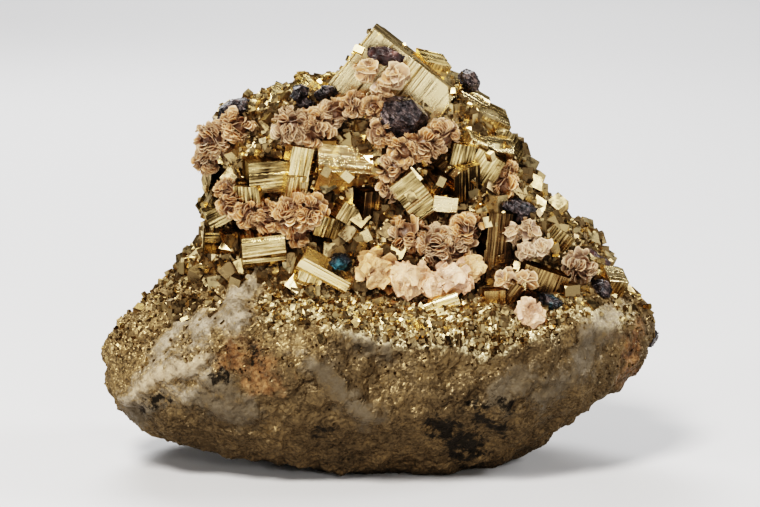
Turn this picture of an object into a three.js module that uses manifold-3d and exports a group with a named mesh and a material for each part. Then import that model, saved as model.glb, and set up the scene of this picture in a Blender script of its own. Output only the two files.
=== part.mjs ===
// A hand-size mineral specimen: striated pyrite crystals with siderite rosettes and dark galena
// and sphalerite crystals, on a broad mass of granular pyrite. Millimetres, +Z up, +X to the
// right and -Y towards the viewer. The origin is on the flat foot, under the middle.
import * as THREE from "three";
import { ConvexGeometry } from "three/addons/geometries/ConvexGeometry.js";
import { mergeVertices } from "three/addons/utils/BufferGeometryUtils.js";
import Module from "manifold-3d";

const wasm = await Module();
wasm.setup();

// Driving dimensions
const GAP = 0.3; // between two pieces that touch
const ROCK_SIDES = 56; // points round the rock
const ROCK_LEVELS = 28; // steps up the rock
const ROCK_SQUARENESS = 0.84; // 1 is an ellipse, less is squarer
const LUMP_SIZE = 17; // broad lumps of the rock
const LUMP_RISE = 2.6;
const KNOB_SIZE = 7.5; // finer knobs of the rock
const KNOB_RISE = 1.7;
const BREAK_SIZE = 160; // a block that takes a flat break off the rock
const DRUSE_COUNT = 100; // small crystals grown on the rock
const DRUSE_EDGE = [2.2, 4.4]; // their least and largest edge
const DRUSE_FOOT = 47; // the height where they begin
const SMALL_LOBE = 4; // a lobe of this radius or less has fewer faces
const LOBE_POINT = [1.02, 1.16]; // how far a rosette's points reach, in its radii
const LOBE_HOLLOW = [0.8, 0.94]; // and its hollows

// The rock's outline at each height: height, left, right, front, back
const ROCK = [
  [0, -17, 31, -18, 21],
  [2, -26, 35, -24, 26],
  [5, -47, 40, -29, 30],
  [9, -60, 45, -33, 34],
  [15, -66, 52, -36, 37],
  [21, -69, 60, -38, 38],
  [28, -68, 67, -38, 39],
  [33, -65, 69.5, -37, 39],
  [38, -61, 67, -35, 38],
  [42, -57, 63, -31, 36],
  [45, -53, 60, -24, 34],
  [49, -48, 56, -20, 32],
  [54, -42, 50, -18, 30],
  [61, -40, 44, -16, 28],
  [69, -39, 38, -15, 26],
  [77, -40, 33, -14, 24],
  [84, -38, 28, -11, 21],
  [89, -30, 25, -9, 18],
  [93, -19, 20, -6, 15],
  [96, -9, 13, -2, 10],
];

// Flat breaks of the rock: a point of the break and the way it faces
const BREAKS = [
  [[0, 33, 25], [0.1, 1, 0.3]],
  [[-47, 22, 25], [-0.75, 0.7, 0.15]],
  [[50, 21, 28], [0.7, 0.7, -0.15]],
  [[10, 28, 8], [0.1, 0.6, -0.8]],
  [[-52, -21, 9], [-0.2, -0.6, -0.75]],
  [[53, -6, 14], [0.62, -0.2, -0.76]],
  [[6, -29, 9], [0.05, -0.75, -0.66]],
  [[-60, -22, 30], [-0.75, -0.55, 0.35]],
  [[54, -24, 33], [0.55, -0.8, 0.15]],
];

// Pyrite crystals: name, middle, edges, turn in degrees about X, Y and Z, and how much of each
// corner is cut off. Crystals of one name have grown together.
const PYRITE = [
  ["pyrite_summit_cube", [2.6, 2.5, 91.9], [27, 22, 22], [0, 38, -3], 0],
  ["pyrite_centre_cube", [-8, -13, 74.5], [16, 10, 10], [45, 6, 10], 0.2],
  ["pyrite_amber_cube", [-2.5, -13, 65], [11, 10, 12], [10, 0, 35], 0],
  ["pyrite_right_shoulder", [24, 4, 83], [12, 12, 12], [20, 25, 15], 0],
  ["pyrite_right_shoulder", [21.5, 5.5, 88], [9, 9, 8.5], [35, 30, 20], 0],
  ["pyrite_right_shoulder", [28, -1, 76.5], [11, 11, 11], [-15, 40, 25], 0.3],
  ["pyrite_right_crest", [12.5, 10, 97], [8, 8, 7], [20, 15, 25], 0],
  ["pyrite_right_crest", [16, 7, 93.5], [7, 7, 7], [35, 20, 10], 0],
  ["pyrite_ridge_cubes", [-17, 3, 90.2], [9, 9, 9], [10, 40, 20], 0],
  ["pyrite_ridge_cubes", [-24, 2, 88], [9, 9, 8], [25, 25, 0], 0],
  ["pyrite_ridge_cubes", [-30.5, 1.5, 86], [8, 8, 8], [0, 30, 30], 0],
  ["pyrite_right_flank", [27, -6, 78], [9, 9, 9], [30, 10, 20], 0],
  ["pyrite_right_flank", [25.5, -11, 76], [8, 7, 8], [20, 30, 10], 0],
  ["pyrite_right_flank", [19.5, -13, 79], [6, 6, 6], [10, 10, 15], 0],
  ["pyrite_right_flank", [22.5, -12, 80.5], [5, 5, 5], [30, 25, 30], 0],
  ["pyrite_slope_cubes", [31.5, -7, 66.5], [9, 8, 8], [25, 20, 35], 0.3],
  ["pyrite_dark_cubes", [12.5, -14, 70], [8, 8, 8], [30, 20, 40], 0.3],
  ["pyrite_dark_cubes", [18.5, -13, 72.5], [9, 9, 9], [20, -15, 30], 0],
  ["pyrite_dark_cubes", [15.5, -16.5, 67], [6, 5.5, 4], [5, 5, 10], 0],
  ["pyrite_dark_cubes", [8, -16.5, 69], [7, 6, 12], [10, -37, 0], 0],
  ["pyrite_fluted_prism", [-20, -15, 77], [5.5, 5.5, 9], [5, 10, 20], 0],
  ["pyrite_ribbed_blocks", [-27, -13, 73.5], [12, 9, 8], [5, -3, 15], 0],
  ["pyrite_ribbed_blocks", [-31, -15, 69.5], [7, 7, 6], [15, 0, -20], 0],
  ["pyrite_ribbed_blocks", [-21, -15.5, 71], [6, 5, 6], [10, 5, 25], 0],
  ["pyrite_left_prism", [-38, -11, 64], [10, 8, 5], [0, -25, 10], 0],
  ["pyrite_left_block", [-38, -11, 57.5], [11, 9, 6.5], [8, 3, 8], 0],
  ["pyrite_stack", [-29, -15, 56.5], [11, 9, 9], [10, -5, 10], 0],
  ["pyrite_corner_cubes", [-9, -18, 65], [5, 5, 5], [10, 30, 30], 0],
  ["pyrite_corner_cubes", [-13, -16, 62], [7, 6, 6], [20, 15, 10], 0],
  ["pyrite_tall_blade", [27, -15, 54], [8, 8, 21], [0, 5, 25], 0],
  ["pyrite_bright_prism", [-13, -23.5, 51.5], [13.5, 6, 4.5], [20, 29, 0], 0],
  ["pyrite_bright_prism", [-17, -21, 50.5], [7, 7, 6], [10, 20, 15], 0],
  ["pyrite_ledge_prism", [14.5, -28, 44.5], [9, 4, 3.5], [10, -19, 0], 0],
  ["pyrite_gold_cubes", [33, -23, 46], [7, 7, 7], [20, 30, 10], 0],
  ["pyrite_gold_cubes", [28, -25, 45.5], [7, 4, 4], [10, 0, 10], 0],
  ["pyrite_gold_cubes", [39.5, -19.5, 48.5], [12, 5, 6], [10, 20, 10], 0],
  ["pyrite_slope_cubes", [32.5, -3, 65], [7, 7, 8], [15, 10, 20], 0],
  ["pyrite_slope_cubes", [38.5, -4, 60], [8, 8, 7], [30, 20, 35], 0],
  ["pyrite_slope_cubes", [43, -5, 56], [7, 7, 7], [10, 35, 15], 0],
  ["pyrite_outer_cubes", [52, -7, 48], [7, 7, 6], [20, 25, 10], 0],
  ["pyrite_outer_cubes", [57, -9, 46], [6, 6, 6], [35, 10, 25], 0],
  ["pyrite_back_summit", [5, 16, 89], [16, 12, 14], [-20, 20, 30], 0],
  ["pyrite_back_left", [-22, 20, 77], [15, 13, 13], [-15, 25, 20], 0],
  ["pyrite_back_right", [19, 21, 75], [14, 12, 14], [-25, 10, -25], 0.25],
  ["pyrite_back_low", [-3, 27, 62], [16, 12, 13], [-30, 15, 10], 0],
  ["pyrite_back_edge", [37, 20, 58], [12, 12, 11], [-10, 30, -20], 0],
  ["pyrite_back_low", [8, 28, 57], [11, 10, 10], [-20, 35, 25], 0],
  ["pyrite_back_left", [-30, 17, 70], [11, 11, 10], [15, 35, -20], 0],
  ["pyrite_back_left", [-27, 15, 81.5], [10, 9, 9], [30, 10, 25], 0],
  ["pyrite_back_right", [22, 16, 82], [10, 10, 9], [10, 30, 15], 0],
  ["pyrite_back_edge", [43, 14, 53], [9, 9, 9], [25, 15, 10], 0],
  ["pyrite_back_corner", [-31, 25, 57], [12, 11, 12], [-20, 25, 35], 0.25],
  ["pyrite_back_corner", [-23, 28, 53], [9, 9, 8], [10, 35, 15], 0],
  ["pyrite_left_flank", [-39, 6, 71], [9, 12, 11], [20, 10, 15], 0],
  ["pyrite_left_flank", [-39.5, 0, 64], [8, 8, 8], [30, 25, 10], 0],
  ["pyrite_left_flank", [-40, 13, 62], [10, 10, 9], [10, 35, 20], 0],
];

// Dark crystals: name, middle, half widths and turn
const DARK = [
  ["galena_left_crest", [-36, -1, 88], [5.2, 4.4, 3.8], [0, -10, 20]],
  ["galena_ridge_pair", [-19.5, -9, 93], [3.2, 2.8, 3], [10, 0, 30]],
  ["galena_ridge_pair", [-18, -9, 90], [2.8, 2.6, 2.6], [0, 20, 10]],
  ["galena_ridge_flat", [-13.5, -9, 92.8], [3.6, 3, 2.6], [0, -15, 0]],
  ["sphalerite_summit_arc", [1.5, -10, 102], [5.4, 3, 3], [0, 12, 0]],
  ["galena_great_crystal", [5.4, -15.5, 87.3], [7, 5.6, 6.8], [10, 20, 15]],
  ["galena_teal_crystal", [-9.5, -25, 53.5], [3.4, 3.2, 3.4], [10, 15, 20]],
  ["galena_right_crystal", [33, -12, 64], [6.2, 5, 4.8], [0, 10, 15]],
  ["galena_ledge_cluster", [41, -25, 44], [4.2, 3, 2.8], [0, 25, 0]],
  ["galena_black_crystal", [54, -13, 44.5], [3.8, 3.6, 4], [20, 10, 30]],
  ["galena_right_tip", [66.5, -2, 31.5], [3.8, 4, 4], [0, 30, 10]],
  ["galena_right_crest", [22.2, 5, 94.6], [3.6, 4, 3.6], [15, 30, 0]],
  ["sphalerite_right_ridge", [51.5, 1, 50], [6.8, 4.6, 3.4], [0, 15, 0]],
  ["galena_back_crystal", [8, 24, 70], [5.6, 5, 5.6], [-20, 10, 40]],
];

// Siderite rosettes: name, middle and radius of each lobe
const SIDERITE = [
  ["siderite_left_crest", [-41, -3, 81], 5.4],
  ["siderite_left_crest", [-35, -5, 84.5], 4.8],
  ["siderite_left_crest", [-43, -1, 75.5], 4],
  ["siderite_great_rosette", [-21.5, -13.5, 85], 5.4],
  ["siderite_great_rosette", [-15.5, -13.5, 84.8], 5.3],
  ["siderite_great_rosette", [-11.5, -12.5, 88.3], 4.1],
  ["siderite_summit_pair", [-3.4, -10.5, 98.2], 3.4],
  ["siderite_summit_pair", [4, -10.5, 97.2], 3.6],
  ["siderite_summit_pair", [0, -11, 94.6], 2.5],
  ["siderite_ridge", [-6.5, -12.5, 90.3], 3.7],
  ["siderite_ridge", [-2, -13, 89.5], 3.3],
  ["siderite_ridge", [1.3, -13, 91.5], 2.6],
  ["siderite_centre", [0, -17, 84], 3.8],
  ["siderite_centre", [6, -18, 80], 4.4],
  ["siderite_centre", [11, -17, 80.8], 4.5],
  ["siderite_centre", [15, -15.5, 83.2], 4.4],
  ["siderite_centre", [3, -18, 75.5], 4],
  ["siderite_centre", [2, -17.5, 70], 3.4],
  ["siderite_left_low", [-37.5, -14.5, 70], 3.2],
  ["siderite_left_low", [-36, -15.5, 66.5], 4.1],
  ["siderite_left_low", [-32, -16.5, 64.5], 4.1],
  ["siderite_left_low", [-27.5, -17, 63.5], 4.5],
  ["siderite_heart", [-21.5, -18, 64.5], 5.6],
  ["siderite_heart", [-17, -18, 65.3], 5],
  ["siderite_heart", [-20, -17, 60], 4.2],
  ["siderite_low_spray", [6.5, -19, 59.5], 5.1],
  ["siderite_low_spray", [13.5, -20, 57], 5.6],
  ["siderite_low_spray", [18, -19, 55.5], 4.4],
  ["siderite_low_spray", [21, -18.5, 60.5], 4.7],
  ["siderite_right", [30, -10.5, 70.5], 4.3],
  ["siderite_right", [31, -9.5, 74], 3],
  ["siderite_on_galena", [31.8, -16, 59.6], 3.1],
  ["siderite_on_galena", [36, -15.5, 60.3], 3.2],
  ["siderite_right_ledge", [30.6, -24, 49], 3.4],
  ["siderite_right_ledge", [35, -24, 49], 3.3],
  ["siderite_outer", [48.8, -14, 50.9], 4.6],
  ["siderite_discs", [35.2, -18.5, 55], 2.6],
  ["siderite_discs", [39.2, -17, 56], 2.8],
  ["siderite_pale_mass", [-1, -25, 51.5], 5.5],
  ["siderite_pale_mass", [7, -26, 50], 5.7],
  ["siderite_pale_mass", [12.5, -26, 48], 4.6],
  ["siderite_pale_mass", [17.5, -25.5, 49.5], 5.4],
  ["siderite_pale_mass", [22, -23, 51.5], 4],
  ["siderite_ledge_patch", [36, -30, 42], 4.1],
  ["siderite_back_left", [-12, 25, 71], 6],
  ["siderite_back_left", [-16, 24, 66], 5],
  ["siderite_back_right", [30, 22, 66], 5.6],
  ["siderite_back_right", [25, 24, 62], 4.6],
];

const brass = new THREE.MeshStandardMaterial({
  color: 0xc4a76a,
  metalness: 1,
  roughness: 0.28,
});
const rockFinish = new THREE.MeshStandardMaterial({
  color: 0x80683f,
  metalness: 0.7,
  roughness: 0.55,
});
const lead = new THREE.MeshStandardMaterial({
  color: 0x1d2023,
  metalness: 0.6,
  roughness: 0.35,
});
const blende = new THREE.MeshStandardMaterial({
  color: 0x4a2a22,
  metalness: 0.2,
  roughness: 0.35,
});
const carbonate = new THREE.MeshStandardMaterial({
  color: 0xd9a987,
  metalness: 0,
  roughness: 0.5,
});

// A repeatable run of numbers from 0 to 1.
function dice(seed) {
  let state = seed;
  return () => {
    state = (state * 16807) % 2147483647;
    return state / 2147483647;
  };
}

// A number from 0 to 1 that belongs to one corner of the noise grid.
function gridValue(i, j, k) {
  const mixed = Math.sin(i * 127.1 + j * 311.7 + k * 74.7) * 43758.5453;
  return mixed - Math.floor(mixed);
}

// Smooth noise from -1 to 1 whose lumps are size across.
function lumps(x, y, z, size) {
  const [i, j, k] = [x / size, y / size, z / size].map(Math.floor);
  const ease = (t) => t * t * (3 - 2 * t);
  const [u, v, w] = [x / size - i, y / size - j, z / size - k].map(ease);
  const mix = THREE.MathUtils.lerp;
  const row = (b, c) =>
    mix(gridValue(i, j + b, k + c), gridValue(i + 1, j + b, k + c), u);
  const layer = (c) => mix(row(0, c), row(1, c), v);
  return 2 * mix(layer(0), layer(1), w) - 1;
}

// A copy of a geometry that keeps only its places.
function bareCopy(geometry) {
  const bare = geometry.clone();
  bare.deleteAttribute("normal");
  bare.deleteAttribute("uv");
  return bare;
}

// A closed three.js geometry as a solid.
function solidOf(geometry) {
  const merged = mergeVertices(bareCopy(geometry), 1e-4);
  return new wasm.Manifold(
    new wasm.Mesh({
      numProp: 3,
      vertProperties: new Float32Array(merged.attributes.position.array),
      triVerts: new Uint32Array(merged.index.array),
    }),
  );
}

// A solid as a three.js geometry, moved so that middle becomes its own origin.
function geometryOf(solid, middle) {
  const { numProp, vertProperties, triVerts } = solid.getMesh();
  const count = vertProperties.length / numProp;
  const places = new Float32Array(count * 3);
  for (let n = 0; n < count; n++)
    places.set(vertProperties.subarray(n * numProp, n * numProp + 3), n * 3);
  const geometry = new THREE.BufferGeometry();
  geometry.setAttribute("position", new THREE.BufferAttribute(places, 3));
  geometry.setIndex(new THREE.BufferAttribute(new Uint32Array(triVerts), 1));
  geometry.translate(-middle[0], -middle[1], -middle[2]);
  geometry.computeVertexNormals();
  return geometry;
}

// Turns a geometry by degrees about X, then Y, then Z, and moves it to its place.
function placed(geometry, middle, turn) {
  const angles = turn.map(THREE.MathUtils.degToRad);
  const spin = new THREE.Quaternion().setFromEuler(
    new THREE.Euler(...angles, "ZYX"),
  );
  return geometry.applyQuaternion(spin).translate(...middle);
}

// The rock's outline at share up its height: left, right, front and back.
const sideCurve = new THREE.CatmullRomCurve3(
  ROCK.map(([height, left, right]) => new THREE.Vector3(left, right, height)),
);
const depthCurve = new THREE.CatmullRomCurve3(
  ROCK.map(([height, , , front, back]) => new THREE.Vector3(front, back, height)),
);

// A point of the rock's skin, angle round and share up, pushed out by grow.
function rockPoint(angle, share, grow) {
  const side = sideCurve.getPoint(share);
  const depth = depthCurve.getPoint(share);
  const squared = (value) =>
    Math.sign(value) * Math.abs(value) ** ROCK_SQUARENESS;
  const [across, along] = [squared(Math.cos(angle)), squared(Math.sin(angle))];
  const point = new THREE.Vector3(
    (side.x + side.y) / 2 + ((side.y - side.x) / 2) * across,
    (depth.x + depth.y) / 2 + ((depth.y - depth.x) / 2) * along,
    side.z,
  );
  const clearOfFoot = THREE.MathUtils.smoothstep(point.z, 0, 6);
  const { x, y, z } = point;
  const rise =
    LUMP_RISE * lumps(x, y, z, LUMP_SIZE) +
    KNOB_RISE * (1 - 2.5 * Math.abs(lumps(x, y, z, KNOB_SIZE)));
  const out = new THREE.Vector3(Math.cos(angle), Math.sin(angle), 0);
  return point.addScaledVector(out, clearOfFoot * rise + grow);
}

// The block whose near face is a flat break.
function breakBlock([point, facing], grow) {
  const away = new THREE.Vector3(...facing).normalize();
  const spin = new THREE.Quaternion().setFromUnitVectors(
    new THREE.Vector3(0, 0, 1),
    away,
  );
  const block = new THREE.BoxGeometry(BREAK_SIZE, BREAK_SIZE, BREAK_SIZE);
  block.translate(0, 0, BREAK_SIZE / 2 + grow).applyQuaternion(spin);
  return solidOf(block.translate(...point));
}

// The granular rock without its small crystals: a cylinder whose rings follow the outlines.
function rockBody(grow) {
  const bare = new THREE.CylinderGeometry(1, 1, 1, ROCK_SIDES, ROCK_LEVELS);
  const place = bare.attributes.position;
  for (let n = 0; n < place.count; n++) {
    const share = place.getY(n) + 0.5;
    const onAxis = Math.hypot(place.getX(n), place.getZ(n)) < 0.5;
    const angle = Math.atan2(-place.getZ(n), place.getX(n));
    const point = rockPoint(angle, share, grow);
    if (onAxis) point.set(4, 2, point.z);
    if (share > 0.999) point.z += grow;
    place.setXYZ(n, point.x, point.y, point.z);
  }
  const blocks = BREAKS.map((row) => breakBlock(row, grow));
  return solidOf(bare).subtract(wasm.Manifold.union(blocks));
}

// One small crystal grown on the upper rock. Each takes the next turn of the golden angle.
function druseCrystal(index, roll, grow) {
  const goldenAngle = Math.PI * (3 - Math.sqrt(5));
  const share = 0.56 + 0.4 * ((index + roll()) / DRUSE_COUNT);
  const point = rockPoint(index * goldenAngle, share, -0.5);
  const edge = THREE.MathUtils.lerp(...DRUSE_EDGE, roll() ** 2);
  const edges = [edge, edge * (0.8 + 0.4 * roll()), edge * (0.8 + 0.5 * roll())];
  const turn = [roll() * 90, roll() * 90, roll() * 90];
  if (point.z < DRUSE_FOOT || !isBare(point, edge)) return null;
  return crystal(point.toArray(), edges, turn, 0, grow);
}

// Whether no larger piece stands where a small crystal would grow.
function isBare(point, edge) {
  const reach = (size) => (Array.isArray(size) ? Math.max(...size) / 2 : size);
  return [...PYRITE, ...DARK, ...SIDERITE].every(
    ([, middle, size]) =>
      point.distanceTo(new THREE.Vector3(...middle)) > reach(size) + edge / 2,
  );
}

// The rock with its small crystals, in one solid.
function rock(grow) {
  const roll = dice(71);
  const grown = Array.from({ length: DRUSE_COUNT }, (_, index) =>
    druseCrystal(index, roll, grow),
  );
  return wasm.Manifold.union([rockBody(grow), ...grown.filter(Boolean)]);
}

// A cube or block of pyrite. cut takes that share off the reach of its eight corners.
function crystal(middle, edges, turn, cut, grow) {
  const size = edges.map((edge) => edge + 2 * grow);
  const block = solidOf(placed(new THREE.BoxGeometry(...size), middle, turn));
  if (cut === 0) return block;
  const reach = size.map((edge) => edge * (1.5 - cut));
  const corners = new THREE.OctahedronGeometry(1).scale(...reach);
  return block.intersect(solidOf(placed(corners, middle, turn)));
}

// A rounded dark crystal with many flat faces.
function darkCrystal(middle, halves, turn, grow) {
  const roll = dice(Math.round(900 + 7 * middle[0] + 3 * middle[2]));
  const points = [];
  const corners = new THREE.DodecahedronGeometry(1).attributes.position;
  for (let n = 0; n < corners.count; n++) {
    const corner = new THREE.Vector3().fromBufferAttribute(corners, n);
    points.push(corner);
  }
  const distinct = points.filter(
    (p, n) => points.findIndex((q) => q.distanceTo(p) < 1e-3) === n,
  );
  for (const corner of distinct) {
    corner.multiplyScalar(0.88 + 0.24 * roll());
    corner.set(...corner.toArray().map((v, axis) => v * (halves[axis] + grow)));
  }
  return solidOf(placed(new ConvexGeometry(distinct), middle, turn));
}

// One lobe of a rosette: a rough ball whose points stand out and whose hollows fall in.
function lobe(middle, radius, grow) {
  const roll = dice(Math.round(4000 + 11 * middle[0] + 17 * middle[2]));
  const turn = [roll() * 180, roll() * 180, roll() * 180];
  const detail = radius > SMALL_LOBE ? 1 : 0;
  const round = new THREE.IcosahedronGeometry(1, detail);
  const ball = mergeVertices(bareCopy(round), 1e-4);
  const place = ball.attributes.position;
  const point = new THREE.Vector3();
  for (let n = 0; n < place.count; n++) {
    const [low, high] = n % 2 ? LOBE_HOLLOW : LOBE_POINT;
    const reach = radius * THREE.MathUtils.lerp(low, high, roll()) + grow;
    point.fromBufferAttribute(place, n).setLength(reach);
    place.setXYZ(n, ...point);
  }
  return solidOf(placed(ball, middle, turn));
}

// Rows of one name become one piece: its solid, and the same a gap larger for cutting others.
function pieces(rows, finishOf, build) {
  const names = [...new Set(rows.map(([name]) => name))];
  return names.map((name) => {
    const own = rows.filter(([rowName]) => rowName === name);
    const make = (grow) =>
      wasm.Manifold.union(own.map(([, ...row]) => build(row, grow)));
    return { name, middle: own[0][1], body: make(0), grown: make(GAP), finish: finishOf(name) };
  });
}

// The largest body of a solid, without the crumbs that cutting leaves.
function largest(solid) {
  const bodies = solid.decompose();
  return bodies.reduce((a, b) => (b.volume() > a.volume() ? b : a));
}

const darkFinish = (name) => (name.startsWith("galena") ? lead : blende);
const all = [
  { name: "granular_matrix", middle: [0, 0, 0], body: rock(0), grown: rock(GAP), finish: rockFinish },
  ...pieces(PYRITE, () => brass, ([middle, edges, turn, cut], grow) =>
    crystal(middle, edges, turn, cut, grow),
  ),
  ...pieces(DARK, darkFinish, ([middle, halves, turn], grow) =>
    darkCrystal(middle, halves, turn, grow),
  ),
  ...pieces(SIDERITE, () => carbonate, ([middle, radius], grow) =>
    lobe(middle, radius, grow),
  ),
];

// Each piece is whole, and what grew on it later is cut where the two meet.
const specimen = new THREE.Group();
all.forEach((piece, index) => {
  let body = piece.body;
  for (const earlier of all.slice(0, index)) body = body.subtract(earlier.grown);
  const mesh = new THREE.Mesh(
    geometryOf(largest(body), piece.middle),
    piece.finish,
  );
  mesh.name = piece.name;
  mesh.position.set(...piece.middle);
  specimen.add(mesh);
});

export default specimen;
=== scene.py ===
# A hand-size mineral specimen: striated pyrite crystals with siderite rosettes and dark galena
# and sphalerite crystals on granular pyrite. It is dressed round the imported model, in metres,
# with +Z up, +X to the right and -Y towards the viewer. Named sizes and places are in mm.
import math
import random
from functools import partial

import bpy
import numpy as np
from mathutils import Matrix, Vector, noise


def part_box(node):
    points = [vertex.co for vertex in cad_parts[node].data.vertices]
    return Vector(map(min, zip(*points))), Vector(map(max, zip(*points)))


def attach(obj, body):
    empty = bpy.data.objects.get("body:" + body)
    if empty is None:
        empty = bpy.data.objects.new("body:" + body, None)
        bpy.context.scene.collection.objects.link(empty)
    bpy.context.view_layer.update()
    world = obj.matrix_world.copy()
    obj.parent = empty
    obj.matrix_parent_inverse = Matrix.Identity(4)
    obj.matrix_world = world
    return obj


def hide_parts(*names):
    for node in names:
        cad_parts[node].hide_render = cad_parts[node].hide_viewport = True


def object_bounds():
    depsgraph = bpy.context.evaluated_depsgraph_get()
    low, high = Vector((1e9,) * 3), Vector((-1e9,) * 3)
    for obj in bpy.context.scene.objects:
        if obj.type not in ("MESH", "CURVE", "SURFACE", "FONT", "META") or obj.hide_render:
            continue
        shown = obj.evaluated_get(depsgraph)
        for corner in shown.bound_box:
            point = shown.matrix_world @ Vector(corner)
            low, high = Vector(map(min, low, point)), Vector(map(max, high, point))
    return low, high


MM = 0.001

# The camera looks at the middle of the photo's frame from a little above
VIEW_HEIGHT = 51.8
VIEW_DISTANCE = 633
VIEW_ELEVATION = math.radians(9)
LENS = 120
SENSOR = 36

# The rock's skin
ROCK_VOXEL = 0.7
RIB_RISE = 1.1  # how far a rib of quartz stands out
QUARTZ_RISE = 0.5  # how far the rest of the quartz does
BROAD_LUMPS = 95  # lumps a metre of the noise that bends the patches' edges
BROAD_BEND = 3.4  # how far that noise moves an edge
FINE_LUMPS = 380
FINE_BEND = 1.6
RIB_BEND = 0.5  # the share of the bend that a rib takes
STAIN_BEND = 0.6
FRONTWARDS = (0, -1, 0.15)  # the way that the photo's side of the rock faces

# Heights, and distances to the left, between which one zone of the rock passes into the next
ROUGH_FROM = (6, 14)
LIT_FROM = (18, 36)
LEFT_END_FROM = (24, 34)
KNOBBY_FROM = (28, 34)
LEDGE_FROM = (36, 42)
TOWER_FROM = (44, 50)
SUMMIT_FROM = (84, 90)
KNOBBY_LEFT_OF = (18, 40)
LEFT_END_LEFT_OF = (34, 50)

# The brink, below which the rock's colour is darkened by painted shade: its height, and how far
# it drops between two distances to the left
BRINK = 39
BRINK_DROPS = [(5, 5, 20), (14, 36, 50)]

# Striations of the pyrite
STRIA = 0.5  # width of one strip
MOST_STRIPS = 90
STRIA_TILT = 0.06  # how far a strip's edge stands in or out
STRIA_JITTER = 0.38  # how unevenly the strips are spaced, in shares of a strip
STRIA_DRIFT = 0.05  # how far a strip's edge sways from one end to the other
TERRACE = 0.35  # height of a larger step
TERRACE_SPACING = 5
CHIPS = 4  # corners and edges that are broken off a crystal
CHIP_DEPTH = (0.05, 0.17)  # how deep, in shares of its least edge
SIDE_TONE = 0.42  # how much the sides of a crystal differ in tone
MAP_GAP = 31  # on the UV map, between the sides that look along X, along Y and along Z

# Siderite: sizes are shares of a lobe's radius, and a blade's thickness and teeth of its own
BLADE_KINDS = 6
BLADE_CORNERS = 11
BLADE_THICKNESS = 0.025
BLADE_TEETH = 0.11
HEART_SIZE = 0.5
FAN_BLADES = 7
FAN_SIZES = (0.55, 0.72)
BUNDLES = 6  # bundles of blades for each mm of a lobe's radius
BUNDLE_BLADES = 5
BUNDLE_SIZES = (0.18, 0.36)
LEAST_BLADE = 0.7  # in mm
BUNDLE_SPREAD = math.radians(13)  # between two blades of a bundle
LEAF_SWAY = 0.3  # how much the blades of a bundle differ in shade
OPEN_ROSETTES = ("summit_pair", "discs", "on_galena", "right_ledge")  # plates face outwards
OPEN_BUNDLES = 0.3  # the share of the bundles that an open rosette has
OPEN_PLATES = 9
OPEN_SIZES = (0.52, 0.72)
PALE_VOXEL = 0.25  # in mm
PALE_BLOCKS = 12
PALE_BLOCK_SIZES = (0.5, 0.8)
PALE_BLOCK_TURN = 0.6  # how far a block is turned from a diamond, in radians
PALE_BLOCK_OFFSET = 0.45
PALE_PLATES = 14
PALE_PLATE_SIZES = (0.24, 0.4)
PALE_THICKNESS = 0.09
PALE_TEETH = 0.24

# Dark crystals
DARK_VOXEL = 0.22
DARK_WEAR = 4  # rounds of smoothing
DARK_EDGE = math.radians(28)  # a sharper edge than this stays sharp

# The seed of the patches' bent edges, and the first seed of each kind of piece, to which its
# own number is added
BEND_SEED = 7
PYRITE_SEED = 100
BLADE_SEED = 300
PALE_BLADE_SEED = 400
ROSETTE_SEED = 500
PALE_SEED = 700
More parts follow.
